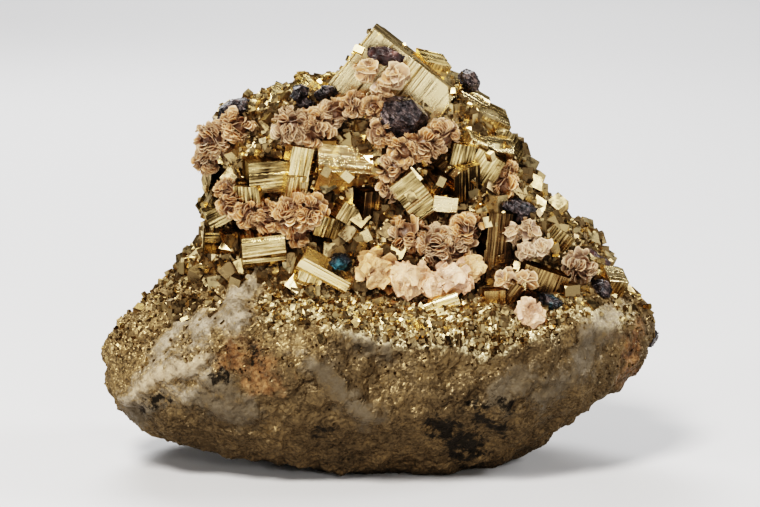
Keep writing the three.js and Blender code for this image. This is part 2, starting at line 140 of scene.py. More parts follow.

# Pyrite crystals: node, middle, edges, turn in degrees about X, Y and Z, the share that each
# corner is cut off, and the tone of the metal from 0, dark bronze, to 1, pale brass, which is
# partly the crystal's own colour and partly a painted reflection
PYRITE = [
    ("summit_cube", (2.6, 2.5, 91.9), (27, 22, 22), (0, 38, -3), 0, 0.95),
    ("centre_cube", (-8, -13, 74.5), (16, 10, 10), (45, 6, 10), 0.2, 1.0),
    ("amber_cube", (-2.5, -13, 65), (11, 10, 12), (10, 0, 35), 0, 0.1),
    ("right_shoulder", (24, 4, 83), (12, 12, 12), (20, 25, 15), 0, 0.45),
    ("right_shoulder", (21.5, 5.5, 88), (9, 9, 8.5), (35, 30, 20), 0, 0.9),
    ("right_shoulder", (28, -1, 76.5), (11, 11, 11), (-15, 40, 25), 0.3, 0.3),
    ("right_crest", (12.5, 10, 97), (8, 8, 7), (20, 15, 25), 0, 0.7),
    ("right_crest", (16, 7, 93.5), (7, 7, 7), (35, 20, 10), 0, 0.95),
    ("ridge_cubes", (-17, 3, 90.2), (9, 9, 9), (10, 40, 20), 0, 0.7),
    ("ridge_cubes", (-24, 2, 88), (9, 9, 8), (25, 25, 0), 0, 0.8),
    ("ridge_cubes", (-30.5, 1.5, 86), (8, 8, 8), (0, 30, 30), 0, 0.7),
    ("right_flank", (27, -6, 78), (9, 9, 9), (30, 10, 20), 0, 0.4),
    ("right_flank", (25.5, -11, 76), (8, 7, 8), (20, 30, 10), 0, 0.4),
    ("right_flank", (19.5, -13, 79), (6, 6, 6), (10, 10, 15), 0, 0.75),
    ("right_flank", (22.5, -12, 80.5), (5, 5, 5), (30, 25, 30), 0, 1.0),
    ("slope_cubes", (31.5, -7, 66.5), (9, 8, 8), (25, 20, 35), 0.3, 0.6),
    ("slope_cubes", (32.5, -3, 65), (7, 7, 8), (15, 10, 20), 0, 0.5),
    ("slope_cubes", (38.5, -4, 60), (8, 8, 7), (30, 20, 35), 0, 0.7),
    ("slope_cubes", (43, -5, 56), (7, 7, 7), (10, 35, 15), 0, 0.6),
    ("dark_cubes", (12.5, -14, 70), (8, 8, 8), (30, 20, 40), 0.3, 0.1),
    ("dark_cubes", (18.5, -13, 72.5), (9, 9, 9), (20, -15, 30), 0, 0.3),
    ("dark_cubes", (15.5, -16.5, 67), (6, 5.5, 4), (5, 5, 10), 0, 0.9),
    ("dark_cubes", (8, -16.5, 69), (7, 6, 12), (10, -37, 0), 0, 0.6),
    ("fluted_prism", (-20, -15, 77), (5.5, 5.5, 9), (5, 10, 20), 0, 0.7),
    ("ribbed_blocks", (-27, -13, 73.5), (12, 9, 8), (5, -3, 15), 0, 0.3),
    ("ribbed_blocks", (-31, -15, 69.5), (7, 7, 6), (15, 0, -20), 0, 0.35),
    ("ribbed_blocks", (-21, -15.5, 71), (6, 5, 6), (10, 5, 25), 0, 0.9),
    ("left_prism", (-38, -11, 64), (10, 8, 5), (0, -25, 10), 0, 0.4),
    ("left_block", (-38, -11, 57.5), (11, 9, 6.5), (8, 3, 8), 0, 0.25),
    ("stack", (-29, -15, 56.5), (11, 9, 9), (10, -5, 10), 0, 0.35),
    ("corner_cubes", (-9, -18, 65), (5, 5, 5), (10, 30, 30), 0, 0.7),
    ("corner_cubes", (-13, -16, 62), (7, 6, 6), (20, 15, 10), 0, 0.3),
    ("tall_blade", (27, -15, 54), (8, 8, 21), (0, 5, 25), 0, 0.15),
    ("bright_prism", (-13, -23.5, 51.5), (13.5, 6, 4.5), (20, 29, 0), 0, 1.0),
    ("bright_prism", (-17, -21, 50.5), (7, 7, 6), (10, 20, 15), 0, 0.5),
    ("ledge_prism", (14.5, -28, 44.5), (9, 4, 3.5), (10, -19, 0), 0, 1.0),
    ("gold_cubes", (33, -23, 46), (7, 7, 7), (20, 30, 10), 0, 0.2),
    ("gold_cubes", (28, -25, 45.5), (7, 4, 4), (10, 0, 10), 0, 1.0),
    ("gold_cubes", (39.5, -19.5, 48.5), (12, 5, 6), (10, 20, 10), 0, 0.3),
    ("outer_cubes", (52, -7, 48), (7, 7, 6), (20, 25, 10), 0, 0.5),
    ("outer_cubes", (57, -9, 46), (6, 6, 6), (35, 10, 25), 0, 0.9),
    ("back_summit", (5, 16, 89), (16, 12, 14), (-20, 20, 30), 0, 0.7),
    ("back_left", (-22, 20, 77), (15, 13, 13), (-15, 25, 20), 0, 0.8),
    ("back_left", (-30, 17, 70), (11, 11, 10), (15, 35, -20), 0, 0.5),
    ("back_left", (-27, 15, 81.5), (10, 9, 9), (30, 10, 25), 0, 0.6),
    ("back_right", (19, 21, 75), (14, 12, 14), (-25, 10, -25), 0.25, 0.7),
    ("back_right", (22, 16, 82), (10, 10, 9), (10, 30, 15), 0, 0.4),
    ("back_low", (-3, 27, 62), (16, 12, 13), (-30, 15, 10), 0, 0.6),
    ("back_low", (8, 28, 57), (11, 10, 10), (-20, 35, 25), 0, 0.8),
    ("back_edge", (37, 20, 58), (12, 12, 11), (-10, 30, -20), 0, 0.7),
    ("back_edge", (43, 14, 53), (9, 9, 9), (25, 15, 10), 0, 0.4),
    ("back_corner", (-31, 25, 57), (12, 11, 12), (-20, 25, 35), 0.25, 0.6),
    ("back_corner", (-23, 28, 53), (9, 9, 8), (10, 35, 15), 0, 0.8),
    ("left_flank", (-39, 6, 71), (9, 12, 11), (20, 10, 15), 0, 0.5),
    ("left_flank", (-39.5, 0, 64), (8, 8, 8), (30, 25, 10), 0, 0.6),
    ("left_flank", (-40, 13, 62), (10, 10, 9), (10, 35, 20), 0, 0.4),
]

# The middles of the crystals whose striations run the other way
CROSSED = [
    (8, -16.5, 69),
    (15.5, -16.5, 67),
    (-27, -13, 73.5),
    (-38, -11, 64),
    (-38, -11, 57.5),
    (-29, -15, 56.5),
    (-13, -23.5, 51.5),
    (14.5, -28, 44.5),
    (-22, 20, 77),
    (8, 28, 57),
]

# Nodes whose metal is a darker amber
AMBER_NODES = ("amber_cube", "gold_cubes", "tall_blade")

# Siderite: node, middle and radius of each lobe, and its tint from 0, grey-brown, to 1, orange
SIDERITE = [
    ("left_crest", (-41, -3, 81), 5.4, 0.4),
    ("left_crest", (-35, -5, 84.5), 4.8, 0.7),
    ("left_crest", (-43, -1, 75.5), 4, 0.3),
    ("great_rosette", (-21.5, -13.5, 85), 5.4, 0.2),
    ("great_rosette", (-15.5, -13.5, 84.8), 5.3, 0.5),
    ("great_rosette", (-11.5, -12.5, 88.3), 4.1, 0.3),
    ("summit_pair", (-3.4, -10.5, 98.2), 3.4, 0.55),
    ("summit_pair", (4, -10.5, 97.2), 3.6, 0.4),
    ("summit_pair", (0, -11, 94.6), 2.5, 0.3),
    ("ridge", (-6.5, -12.5, 90.3), 3.7, 0.7),
    ("ridge", (-2, -13, 89.5), 3.3, 0.6),
    ("ridge", (1.3, -13, 91.5), 2.6, 0.6),
    ("centre", (0, -17, 84), 3.8, 0.65),
    ("centre", (6, -18, 80), 4.4, 0.7),
    ("centre", (11, -17, 80.8), 4.5, 0.65),
    ("centre", (15, -15.5, 83.2), 4.4, 0.5),
    ("centre", (3, -18, 75.5), 4, 0.6),
    ("centre", (2, -17.5, 70), 3.4, 0.6),
    ("left_low", (-37.5, -14.5, 70), 3.2, 0.8),
    ("left_low", (-36, -15.5, 66.5), 4.1, 0.9),
    ("left_low", (-32, -16.5, 64.5), 4.1, 1.0),
    ("left_low", (-27.5, -17, 63.5), 4.5, 0.9),
    ("heart", (-21.5, -18, 64.5), 5.6, 0.85),
    ("heart", (-17, -18, 65.3), 5, 0.8),
    ("heart", (-20, -17, 60), 4.2, 0.7),
    ("low_spray", (6.5, -19, 59.5), 5.1, 0.65),
    ("low_spray", (13.5, -20, 57), 5.6, 0.35),
    ("low_spray", (18, -19, 55.5), 4.4, 0.2),
    ("low_spray", (21, -18.5, 60.5), 4.7, 0.7),
    ("right", (30, -10.5, 70.5), 4.3, 1.0),
    ("right", (31, -9.5, 74), 3, 0.9),
    ("on_galena", (31.8, -16, 59.6), 3.1, 0.15),
    ("on_galena", (36, -15.5, 60.3), 3.2, 0.15),
    ("right_ledge", (30.6, -24, 49), 3.4, 0.5),
    ("right_ledge", (35, -24, 49), 3.3, 0.5),
    ("outer", (48.8, -14, 50.9), 4.6, 0.1),
    ("discs", (35.2, -18.5, 55), 2.6, 0.1),
    ("discs", (39.2, -17, 56), 2.8, 0.2),
    ("back_left", (-12, 25, 71), 6, 0.6),
    ("back_left", (-16, 24, 66), 5, 0.4),
    ("back_right", (30, 22, 66), 5.6, 0.7),
    ("back_right", (25, 24, 62), 4.6, 0.5),
]

# Blocky pale siderite: node, middle and radius of each lobe, and its tint from 0, peach, to 1,
# pink
PALE_SIDERITE = [
    ("pale_mass", (-1, -25, 51.5), 5.5, 0.1),
    ("pale_mass", (7, -26, 50), 5.7, 0.6),
    ("pale_mass", (12.5, -26, 48), 4.6, 0.8),
    ("pale_mass", (17.5, -25.5, 49.5), 5.4, 0.95),
    ("pale_mass", (22, -23, 51.5), 4, 0.1),
    ("ledge_patch", (36, -30, 42), 4.1, 0.9),
]

# Dark crystals: node and the share of its skin that takes a teal tint in patches
GALENA = [
    ("galena_left_crest", 0.1),
    ("galena_ridge_pair", 0.05),
    ("galena_ridge_flat", 0.05),
    ("galena_great_crystal", 0.0),
    ("galena_teal_crystal", 1.0),
    ("galena_right_crystal", 0.1),
    ("galena_ledge_cluster", 0.5),
    ("galena_black_crystal", 0.1),
    ("galena_right_tip", 0.1),
    ("galena_right_crest", 0.0),
    ("galena_back_crystal", 0.3),
]
SPHALERITE = ["sphalerite_summit_arc", "sphalerite_right_ridge"]

# Lobes of granular rock that fill the hollows between the crystals: middle and radius
ROCK_LOBES = [
    ((-3, -12, 57.5), 7.5),
    ((9, -10, 64), 6),
]

# Patches of the rock as the viewer sees them, in mm across and up from the frame's middle:
# one end, the other end and the half width. Those of the back are seen from behind.
QUARTZ = [
    ((-33, -3), (-34, -9), 1.6),
    ((-34, -9), (-36, -17), 3.6),
    ((-37, -15), (-47, -20), 2.2),
    ((-50, -19), (-54, -26), 2.4),
    ((-44, -25), (-63, -36), 1.9),
    ((-61, -38), (-57, -39), 3.2),
    ((-50, -35), (-33, -39), 3),
    ((-42, -29), (-38, -34), 3),
    ((-19, -27), (-16, -29), 2),
    ((-16, -29), (-3, -40), 2.4),
    ((-6, -21.5), (2, -23), 2),
    ((58, -15), (50, -28), 3.4),
    ((50, -28), (40, -37), 2.2),
    ((36, -31), (30, -36), 3.6),
]
BACK_QUARTZ = [
    ((-30, -8), (-44, -22), 3.5),
    ((-10, -20), (6, -26), 3),
    ((6, -26), (20, -24), 2.2),
    ((34, -12), (46, -28), 3.6),
    ((-20, -38), (-2, -42), 3),
]
RIB = [
    ((-44, -25), (-63, -36), 1.9),
    ((-16, -29), (-3, -40), 2.4),
    ((-35, -10), (-36, -17), 2.4),
]
BEIGE = [
    ((-44, -25.5), (-60, -33.5), 1.2),
]
RUST = [
    ((-36, -25), (-29, -30), 4),
    ((-33, -33), (-27, -33), 2),
    ((62, -20), (61, -32), 2.6),
]
BACK_RUST = [
    ((-46, -28), (-38, -34), 4),
    ((24, -30), (30, -34), 3.4),
]
STAIN = [
    ((-40, -29), (-39.5, -31), 1.6),
    ((-31, -25), (-30.5, -26), 1),
    ((22, -38), (33, -38.5), 0.7),
    ((13, -42.5), (18, -45), 2.2),
    ((18, -46), (24, -49), 2.5),
    ((18, -51), (21, -52.5), 1.3),
    ((25, -42), (31, -44.5), 1.1),
    ((-15, -45.5), (-12, -44), 0.5),
    ((-58, -38), (-54, -37), 0.7),
]
BACK_STAIN = [
    ((-8, -36), (2, -39), 1.8),
    ((30, -20), (33, -24), 1.4),
]
# The bright ledge: pale pyrite, with a painted highlight and painted light where it faces up
BRIGHT = [
    ((-26, -14), (-10, -13), 3.5),
    ((-10, -14), (6, -17), 5),
    ((6, -16), (26, -19), 6),
    ((26, -18), (42, -17), 4),
    ((46, -13), (60, -16), 2.5),
]
NO_PATCH = [((0, 200), (1, 200), 1)]  # lies far above the rock
HIDDEN = 20  # added to a patch's gap on the side that faces away from it


# Objects and meshes


def deselect_all():
    for item in list(bpy.context.selected_objects):
        item.select_set(False)


def pick(*items):
    """Selects only these objects and makes the first one active."""
    deselect_all()
    for item in items:
        item.select_set(True)
    bpy.context.view_layer.objects.active = items[0]


def joined(items, name):
    pick(*items)
    if len(items) > 1:
        bpy.ops.object.join()
    piece = bpy.context.object
    piece.name = piece.data.name = name
    return piece


def discard(*items):
    for item in items:
        bpy.data.objects.remove(item)


def own_copy(item):
    """A copy of an object with its own mesh."""
    copy = item.copy()
    copy.data = item.data.copy()
    bpy.context.scene.collection.objects.link(copy)
    return copy


def triples(collection, name):
    """One row of three numbers for each member of the collection."""
    flat = np.empty(len(collection) * 3)
    collection.foreach_get(name, flat)
    return flat.reshape(-1, 3)


def places(item):
    return triples(item.data.vertices, "co")


def set_places(item, points):
    item.data.vertices.foreach_set("co", np.asarray(points).ravel())
    item.data.update()


def normals(item):
    return triples(item.data.vertex_normals, "vector")


def keep_inside(item, box):
    """Moves stray points back into a box, given by its two corners."""
    low, high = (np.array(corner) for corner in box)
    set_places(item, np.clip(places(item), low, high))


def read_attribute(item, name):
    layer = item.data.attributes[name]
    values = np.empty(len(layer.data), np.float32)
    layer.data.foreach_get("value", values)
    return values


def write_attribute(item, name, values, domain="POINT"):
    """Gives each vertex, or each face, of the object a number."""
    layer = item.data.attributes.new(name, "FLOAT", domain)
    layer.data.foreach_set("value", np.broadcast_to(values, len(layer.data)).astype(np.float32))


def paint_group(item, name, weights):
    """A vertex group that gives each vertex its own weight."""
    group = item.vertex_groups.new(name=name)
    for index, weight in enumerate(weights):
        group.add([index], float(weight), "REPLACE")


def displace(item, name, kind, size, rise, middle=0.5, group=""):
    """Adds a Displace modifier whose procedural texture has lumps of that size."""
    texture = bpy.data.textures.new(name, "CLOUDS")
    texture.noise_basis = kind
    texture.noise_scale = size * MM
    texture.noise_depth = 2
    modifier = item.modifiers.new(name, "DISPLACE")
    modifier.texture = texture
    modifier.texture_coords = "LOCAL"
    modifier.strength = rise * MM
    modifier.mid_level = middle
    modifier.vertex_group = group


def one_skin(item, voxel):
    """Adds a Remesh modifier that turns what overlaps into one even skin."""
    skin = item.modifiers.new("skin", "REMESH")
    skin.mode = "VOXEL"
    skin.voxel_size = voxel * MM


def apply_modifiers(item):
    pick(item)
    for modifier in list(item.modifiers):
        bpy.ops.object.modifier_apply(modifier=modifier.name)


def settle(item):
    """Puts the object's place and turn in its mesh."""
    pick(item)
    bpy.ops.object.transform_apply(location=True, rotation=True, scale=True)


def slice_off(place, normal):
    """Cuts off what lies beyond a plane and closes the cut. Edit mode is on."""
    bpy.ops.mesh.select_all(action="SELECT")
    bpy.ops.mesh.bisect(plane_co=place, plane_no=normal, use_fill=True, clear_outer=True)


def merged_copy(node, name):
    """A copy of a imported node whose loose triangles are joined."""
    copy = own_copy(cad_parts[node])
    copy.parent = None
    for key in list(copy.keys()):
        del copy[key]
    copy.name = copy.data.name = name
    copy.data.materials.clear()
    pick(copy)
    bpy.ops.object.mode_set(mode="EDIT")
    bpy.ops.mesh.select_all(action="SELECT")
    bpy.ops.mesh.remove_doubles(threshold=0.01 * MM)
    bpy.ops.object.mode_set(mode="OBJECT")
    return copy


def rows_by_node(table):
    """Each node of the table with its rows. A row's number stands in place of the node."""
    for node in dict.fromkeys(row[0] for row in table):
        yield node, [(index, *row[1:]) for index, row in enumerate(table) if row[0] == node]


def dress(piece, material, slot, *nodes):
    """Finishes a piece: its material, the body it rides on and the nodes it stands for."""
    piece.data.materials.clear()
    piece.data.materials.append(material)
    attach(piece, "root")
    if nodes:
        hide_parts(*nodes)


# Nodes and materials


def feed(tree, socket, value):
    if isinstance(value, bpy.types.NodeSocket):
        tree.links.new(value, socket)
    else:
        socket.default_value = value


def add_node(tree, kind, inputs=(), **settings):
    """Adds a node. Each of its inputs takes a value or another node's output."""
    node = tree.nodes.new(kind)
    for key, value in settings.items():
        setattr(node, key, value)
    for socket, value in dict(inputs).items():
        feed(tree, node.inputs[socket], value)
    return node


def colour(red, green, blue):
    return (red, green, blue, 1.0)


GRAZING = colour(0.6, 0.5, 0.36)  # tints the pyrite's reflections at its edges


class Finish:
    """A material under construction: a short way to add and link its nodes."""

    def __init__(self, name):
        self.material = bpy.data.materials.new(name)
        self.material.use_nodes = True
        self.tree = self.material.node_tree
        self.add = partial(add_node, self.tree)

    def surface(self, **values):
        shader = self.tree.nodes["Principled BSDF"]
        for name, value in values.items():
            feed(self.tree, shader.inputs[name.replace("_", " ")], value)

    def place(self):
        return self.add("ShaderNodeTexCoord").outputs["Object"]

    def stretched(self, vector, scale):
        node = self.add("ShaderNodeMapping", {"Vector": vector, "Scale": scale})
        return node.outputs["Vector"]

    def turned(self, vector, angle):
        """The place turned about Y."""
        inputs = {"Vector": vector, "Rotation": (0.0, angle, 0.0)}
        return self.add("ShaderNodeMapping", inputs).outputs["Vector"]

    def noise(self, vector, scale, detail=3.0, roughness=0.55):
        inputs = {"Vector": vector, "Scale": scale, "Detail": detail, "Roughness": roughness}
        return self.add("ShaderNodeTexNoise", inputs).outputs["Fac"]

    def cells(self, vector, scale):
        return self.add("ShaderNodeTexVoronoi", {"Vector": vector, "Scale": scale})

    def attribute(self, name):
        return self.add("ShaderNodeAttribute", attribute_name=name).outputs["Fac"]

    def maths(self, operation, a, b=0.0, c=0.0):
        return self.add("ShaderNodeMath", {0: a, 1: b, 2: c}, operation=operation).outputs[0]

    def scaled(self, value, factor, offset):
        return self.maths("MULTIPLY_ADD", value, factor, offset)

    def swayed(self, value, by, amount):
        """The value moved up and down by another one, which runs from 0 to 1."""
        return self.scaled(self.maths("SUBTRACT", by, 0.5), amount, value)

    def between(self, value, low, high, to_low=0.0, to_high=1.0):
        """Maps value from low..high to to_low..to_high, smoothly and clamped."""
        inputs = {"Value": value, "From Min": low, "From Max": high, "To Min": to_low}
        inputs["To Max"] = to_high
        node = self.add("ShaderNodeMapRange", inputs, interpolation_type="SMOOTHSTEP")
        return node.outputs["Result"]

    def mix(self, share, a, b):
        return self.add("ShaderNodeMix", {0: share, 6: a, 7: b}, data_type="RGBA").outputs[2]

    def ramp(self, value, *stops):
        node = self.add("ShaderNodeValToRGB", {"Fac": value})
        elements = node.color_ramp.elements
        while len(elements) < len(stops):
            elements.new(0.5)
        for element, (position, shade) in zip(elements, stops):
            element.position = position
            element.color = shade
        return node.outputs["Color"]

    def bump(self, height, rise, strength=1.0, normal=None):
        inputs = {"Height": height, "Distance": rise * MM, "Strength": strength}
        if normal is not None:
            inputs["Normal"] = normal
        return self.add("ShaderNodeBump", inputs).outputs["Normal"]

    def vector_maths(self, operation, inputs):
        return self.add("ShaderNodeVectorMath", inputs, operation=operation).outputs[0]

    def tilted(self, cells, amount, normal=None):
        """A normal that leans its own way in each cell, as small crystal faces do."""
        if normal is None:
            normal = self.add("ShaderNodeNewGeometry").outputs["Normal"]
        centred = self.vector_maths("SUBTRACT", {0: cells.outputs["Color"], 1: (0.5, 0.5, 0.5)})
        lean = self.vector_maths("SCALE", {0: centred, 3: amount})
        added = self.vector_maths("ADD", {0: normal, 1: lean})
        return self.vector_maths("NORMALIZE", {0: added})


def granular_brass(f, tone, painted_light, clumps, lively):
    """The rock's metal, with painted shade: from near black in the painted shade to bright brass.
    """
    swells = f.noise(f.place(), 60, 5.0, 0.6)
    shade = f.swayed(f.scaled(painted_light, 0.5, 0.17), tone, lively)
    shade = f.swayed(shade, swells, 0.5)
    shade = f.swayed(shade, clumps, f.scaled(painted_light, 0.6, 0.35))
    return f.ramp(
        shade,
        (0.05, colour(0.032, 0.022, 0.012)),
        (0.25, colour(0.09, 0.062, 0.033)),
        (0.45, colour(0.17, 0.112, 0.052)),
        (0.62, colour(0.3, 0.205, 0.105)),
        (0.8, colour(0.52, 0.38, 0.21)),
        (1.0, colour(0.88, 0.71, 0.43)),
    )


def pale_brass(f, tone, clumps):
    """The pale pyrite of the ledge, with dark gaps between its grains: partly its own colour and
    partly a painted highlight where the ledge faces up.
    """
    return f.ramp(
        f.scaled(clumps, 1.2, f.scaled(tone, 0.6, -0.45)),
        (0.1, colour(0.03, 0.02, 0.01)),
        (0.35, colour(0.3, 0.22, 0.115)),
        (0.6, colour(0.95, 0.8, 0.5)),
    )


def grey_quartz(f, tone, painted_light, veins):
    """Streaked grey quartz with dark grains, darkened by painted shade where the rock lies low.
    """
    streaks = f.noise(f.stretched(f.turned(f.place(), 0.6), (420, 300, 110)), 1.0, 6.0, 0.7)
    quartz = f.ramp(
        f.scaled(streaks, 0.5, f.maths("MULTIPLY", veins, 0.5)),
        (0.36, colour(0.06, 0.045, 0.03)),
        (0.46, colour(0.16, 0.13, 0.094)),
        (0.58, colour(0.34, 0.285, 0.215)),
    )
    quartz = f.mix(f.between(tone, 0.8, 0.86, 0.0, 0.7), quartz, colour(0.09, 0.065, 0.035))
    return f.mix(f.between(painted_light, 0.05, 0.6, 0.86, 0.0), quartz, colour(0.045, 0.034, 0.022))


def rust_brown(f, veins):
    return f.ramp(
        veins,
        (0.36, colour(0.02, 0.01, 0.005)),
        (0.48, colour(0.085, 0.038, 0.014)),
        (0.62, colour(0.23, 0.12, 0.052)),
    )


def rock_finish():
    """Granular pyrite with patches of quartz, rust and stain, which its attributes place, and
    with painted shade low down and painted light higher up.
    """
    f = Finish("granular pyrite rock")
    place = f.place()
    grain = f.cells(place, 2100)
    tone = f.add("ShaderNodeSeparateColor", {0: grain.outputs["Color"]}).outputs[0]
    painted_light = f.attribute("painted_light")
    # Less grain contrast, and less tilt, in the painted shade low down
    lively = f.scaled(painted_light, 0.5, 0.16)
    clumps = f.noise(place, 330, 4.0, 0.6)
    veins = f.noise(place, 380, 7.0, 0.75)
    ragged = f.scaled(f.noise(place, 420, 6.0, 0.7), 8.0, -4.0)

    def patch(name, soft, raggedness=1.0):
        """1 in the patches of that name and 0 outside, soft mm on each side of a ragged edge."""
        return f.between(f.scaled(ragged, raggedness, f.attribute(name)), soft, -soft)

    quartz_mask = f.maths("MULTIPLY", patch("quartz", 2.2, 1.6), 0.88)
    rib_mask = f.maths("MULTIPLY", patch("rib", 1.0), 0.85)
    rust_mask = f.maths("MULTIPLY", patch("rust", 1.6), f.between(clumps, 0.4, 0.55, 0.35, 1.0))
    stain_mask = patch("stain", 0.9, 1.7)
    beige = f.mix(veins, colour(0.16, 0.105, 0.06), colour(0.52, 0.42, 0.29))

    skin = granular_brass(f, tone, painted_light, clumps, lively)
    # The bright ledge: pale brass that is partly its own colour and partly a painted highlight
    skin = f.mix(patch("bright", 2.0), skin, pale_brass(f, tone, clumps))
    skin = f.mix(quartz_mask, skin, grey_quartz(f, tone, painted_light, veins))
    skin = f.mix(rust_mask, skin, rust_brown(f, veins))
    skin = f.mix(rib_mask, skin, beige)
    skin = f.mix(stain_mask, skin, colour(0.009, 0.007, 0.005))

    dull = f.maths("MAXIMUM", quartz_mask, rust_mask)
    dull = f.maths("MULTIPLY", dull, f.maths("SUBTRACT", 1.0, stain_mask))
    lean = f.maths("MULTIPLY", f.scaled(dull, -0.85, 1.0), lively)
    normal = f.tilted(f.cells(place, 800), f.maths("MULTIPLY", lean, 0.7))
    normal = f.tilted(grain, f.maths("MULTIPLY", lean, 1.2), normal)
    f.surface(
        Base_Color=skin,
        Metallic=f.maths("MULTIPLY", f.maths("SUBTRACT", 1.0, dull), 0.6),
        Specular_Tint=GRAZING,
        Roughness=f.scaled(dull, 0.2, f.between(tone, 0.2, 0.9, 0.6, 0.34)),
        Normal=f.bump(f.noise(place, 900, 4.0), 0.2, 0.7, normal),
    )
    return f.material


def pyrite_finish(name, dark, middle, light):
    """Striated pyrite: the UV map runs across the striations in U and along them in V, in mm."""
    f = Finish(name)
    map_place = f.add("ShaderNodeUVMap", uv_map="striae").outputs["UV"]
    fine = f.noise(f.stretched(map_place, (2.4, 0.05, 1.0)), 1.0, 5.0, 0.8)
    wide = f.noise(f.stretched(map_place, (0.45, 0.035, 1.0)), 1.0, 3.0, 0.6)
    cloud = f.noise(f.place(), 160, 4.0, 0.6)
    # Painted reflection: light and dark stripes along the striations, and painted shade in the
    # darkest grooves
    tone = f.swayed(f.attribute("tone"), fine, 3.2)
    tone = f.swayed(tone, wide, 2.2)
    tone = f.swayed(tone, cloud, 1.3)
    painted_groove_shade = colour(0.02, 0.014, 0.006)
    f.surface(
        Base_Color=f.ramp(tone, (0.0, painted_groove_shade), (0.2, dark), (0.5, middle), (0.95, light)),
        Metallic=1.0,
        Specular_Tint=GRAZING,
        Roughness=f.between(cloud, 0.3, 0.7, 0.16, 0.32),
        Normal=f.bump(f.scaled(wide, 1.5, fine), 0.13, 0.9),
    )
    return f.material


def grain_finish():
    """Small pyrite crystals, each with its own tone, darkened by painted shade where they sit low
    on the rock.
    """
    f = Finish("small pyrite crystals")
    tone = f.attribute("tone")
    cloud = f.noise(f.place(), 700, 3.0)
    # Painted shade: a crystal low on the rock is darker
    lit = f.maths("MULTIPLY", tone, f.attribute("painted_light"))
    skin = f.ramp(
        f.maths("ADD", lit, f.scaled(cloud, 0.3, -0.15)),
        (0.0, colour(0.075, 0.05, 0.025)),
        (0.3, colour(0.17, 0.118, 0.06)),
        (0.65, colour(0.34, 0.25, 0.13)),
        (1.0, colour(0.78, 0.61, 0.35)),
    )
    f.surface(
        Base_Color=skin,
        Metallic=f.between(tone, 0.0, 0.5, 0.6, 1.0),
        Specular_Tint=GRAZING,
        Roughness=f.between(cloud, 0.3, 0.7, 0.2, 0.42),
        Normal=f.bump(cloud, 0.05, 0.5),
    )
    return f.material


def siderite_finish():
    """Siderite blades: greyer or more orange by lobe and blade, with paler rims as a painted
    highlight and painted shade down between them.
    """
    f = Finish("siderite")
    place = f.place()
    cloud = f.noise(place, 170, 4.0, 0.6)
    fine = f.noise(place, 1500, 4.0, 0.65)
    orange = f.mix(cloud, colour(0.36, 0.14, 0.04), colour(0.74, 0.38, 0.15))
    tan = f.mix(cloud, colour(0.17, 0.095, 0.058), colour(0.56, 0.36, 0.23))
    sway = f.scaled(f.attribute("leaf"), 0.7, f.scaled(cloud, 0.5, -0.6))
    skin = f.mix(f.between(f.maths("ADD", f.attribute("tint"), sway), 0.05, 0.95), tan, orange)
    # Painted highlight: paler rims on the blades
    painted_rim_highlight = colour(0.88, 0.64, 0.41)
    skin = f.mix(f.between(f.attribute("rim"), 0.7, 1.05, 0.0, 0.65), skin, painted_rim_highlight)
    specks = colour(0.14, 0.075, 0.05)
    skin = f.mix(f.between(fine, 0.56, 0.72, 0.0, 0.45), skin, specks)
    # Painted shade down between the blades, towards the lobe's middle
    painted_shadow = colour(0.07, 0.03, 0.014)
    skin = f.mix(f.between(f.attribute("depth"), 0.95, 0.5, 0.0, 0.88), skin, painted_shadow)
    f.surface(
        Base_Color=skin,
        Roughness=f.between(fine, 0.3, 0.7, 0.36, 0.6),
        Normal=f.bump(fine, 0.05, 0.6),
        Subsurface_Weight=0.15,
        Subsurface_Radius=(1.0, 0.5, 0.3),
        Subsurface_Scale=0.6 * MM,
    )
    return f.material


def pale_siderite_finish():
    """Pale siderite, from peach to pink by lobe, with grey crumbs and painted shade towards each
    lobe's middle.
    """
    f = Finish("pale siderite")
    place = f.place()
    cloud = f.noise(place, 190, 5.0, 0.65)
    fine = f.noise(place, 1300, 5.0, 0.7)
    peach = f.mix(f.between(cloud, 0.3, 0.7), colour(0.4, 0.2, 0.07), colour(0.9, 0.58, 0.29))
    pink = f.mix(f.between(cloud, 0.3, 0.7), colour(0.38, 0.2, 0.12), colour(0.9, 0.59, 0.4))
    sway = f.scaled(f.attribute("leaf"), 0.3, f.attribute("tint"))
    skin = f.mix(f.maths("SUBTRACT", sway, 0.15), peach, pink)
    crumbs = colour(0.24, 0.17, 0.13)
    skin = f.mix(f.between(fine, 0.54, 0.68, 0.0, 0.5), skin, crumbs)
    # Painted shade towards the lobe's middle
    painted_shadow = colour(0.2, 0.1, 0.05)
    skin = f.mix(f.between(f.attribute("depth"), 0.85, 0.55, 0.0, 0.7), skin, painted_shadow)
    f.surface(
        Base_Color=skin,
        Roughness=f.between(fine, 0.3, 0.7, 0.35, 0.6),
        Normal=f.bump(f.scaled(cloud, 2.0, fine), 0.15, 0.8),
        Subsurface_Weight=0.15,
        Subsurface_Radius=(1.0, 0.5, 0.3),
        Subsurface_Scale=0.8 * MM,
    )
    return f.material


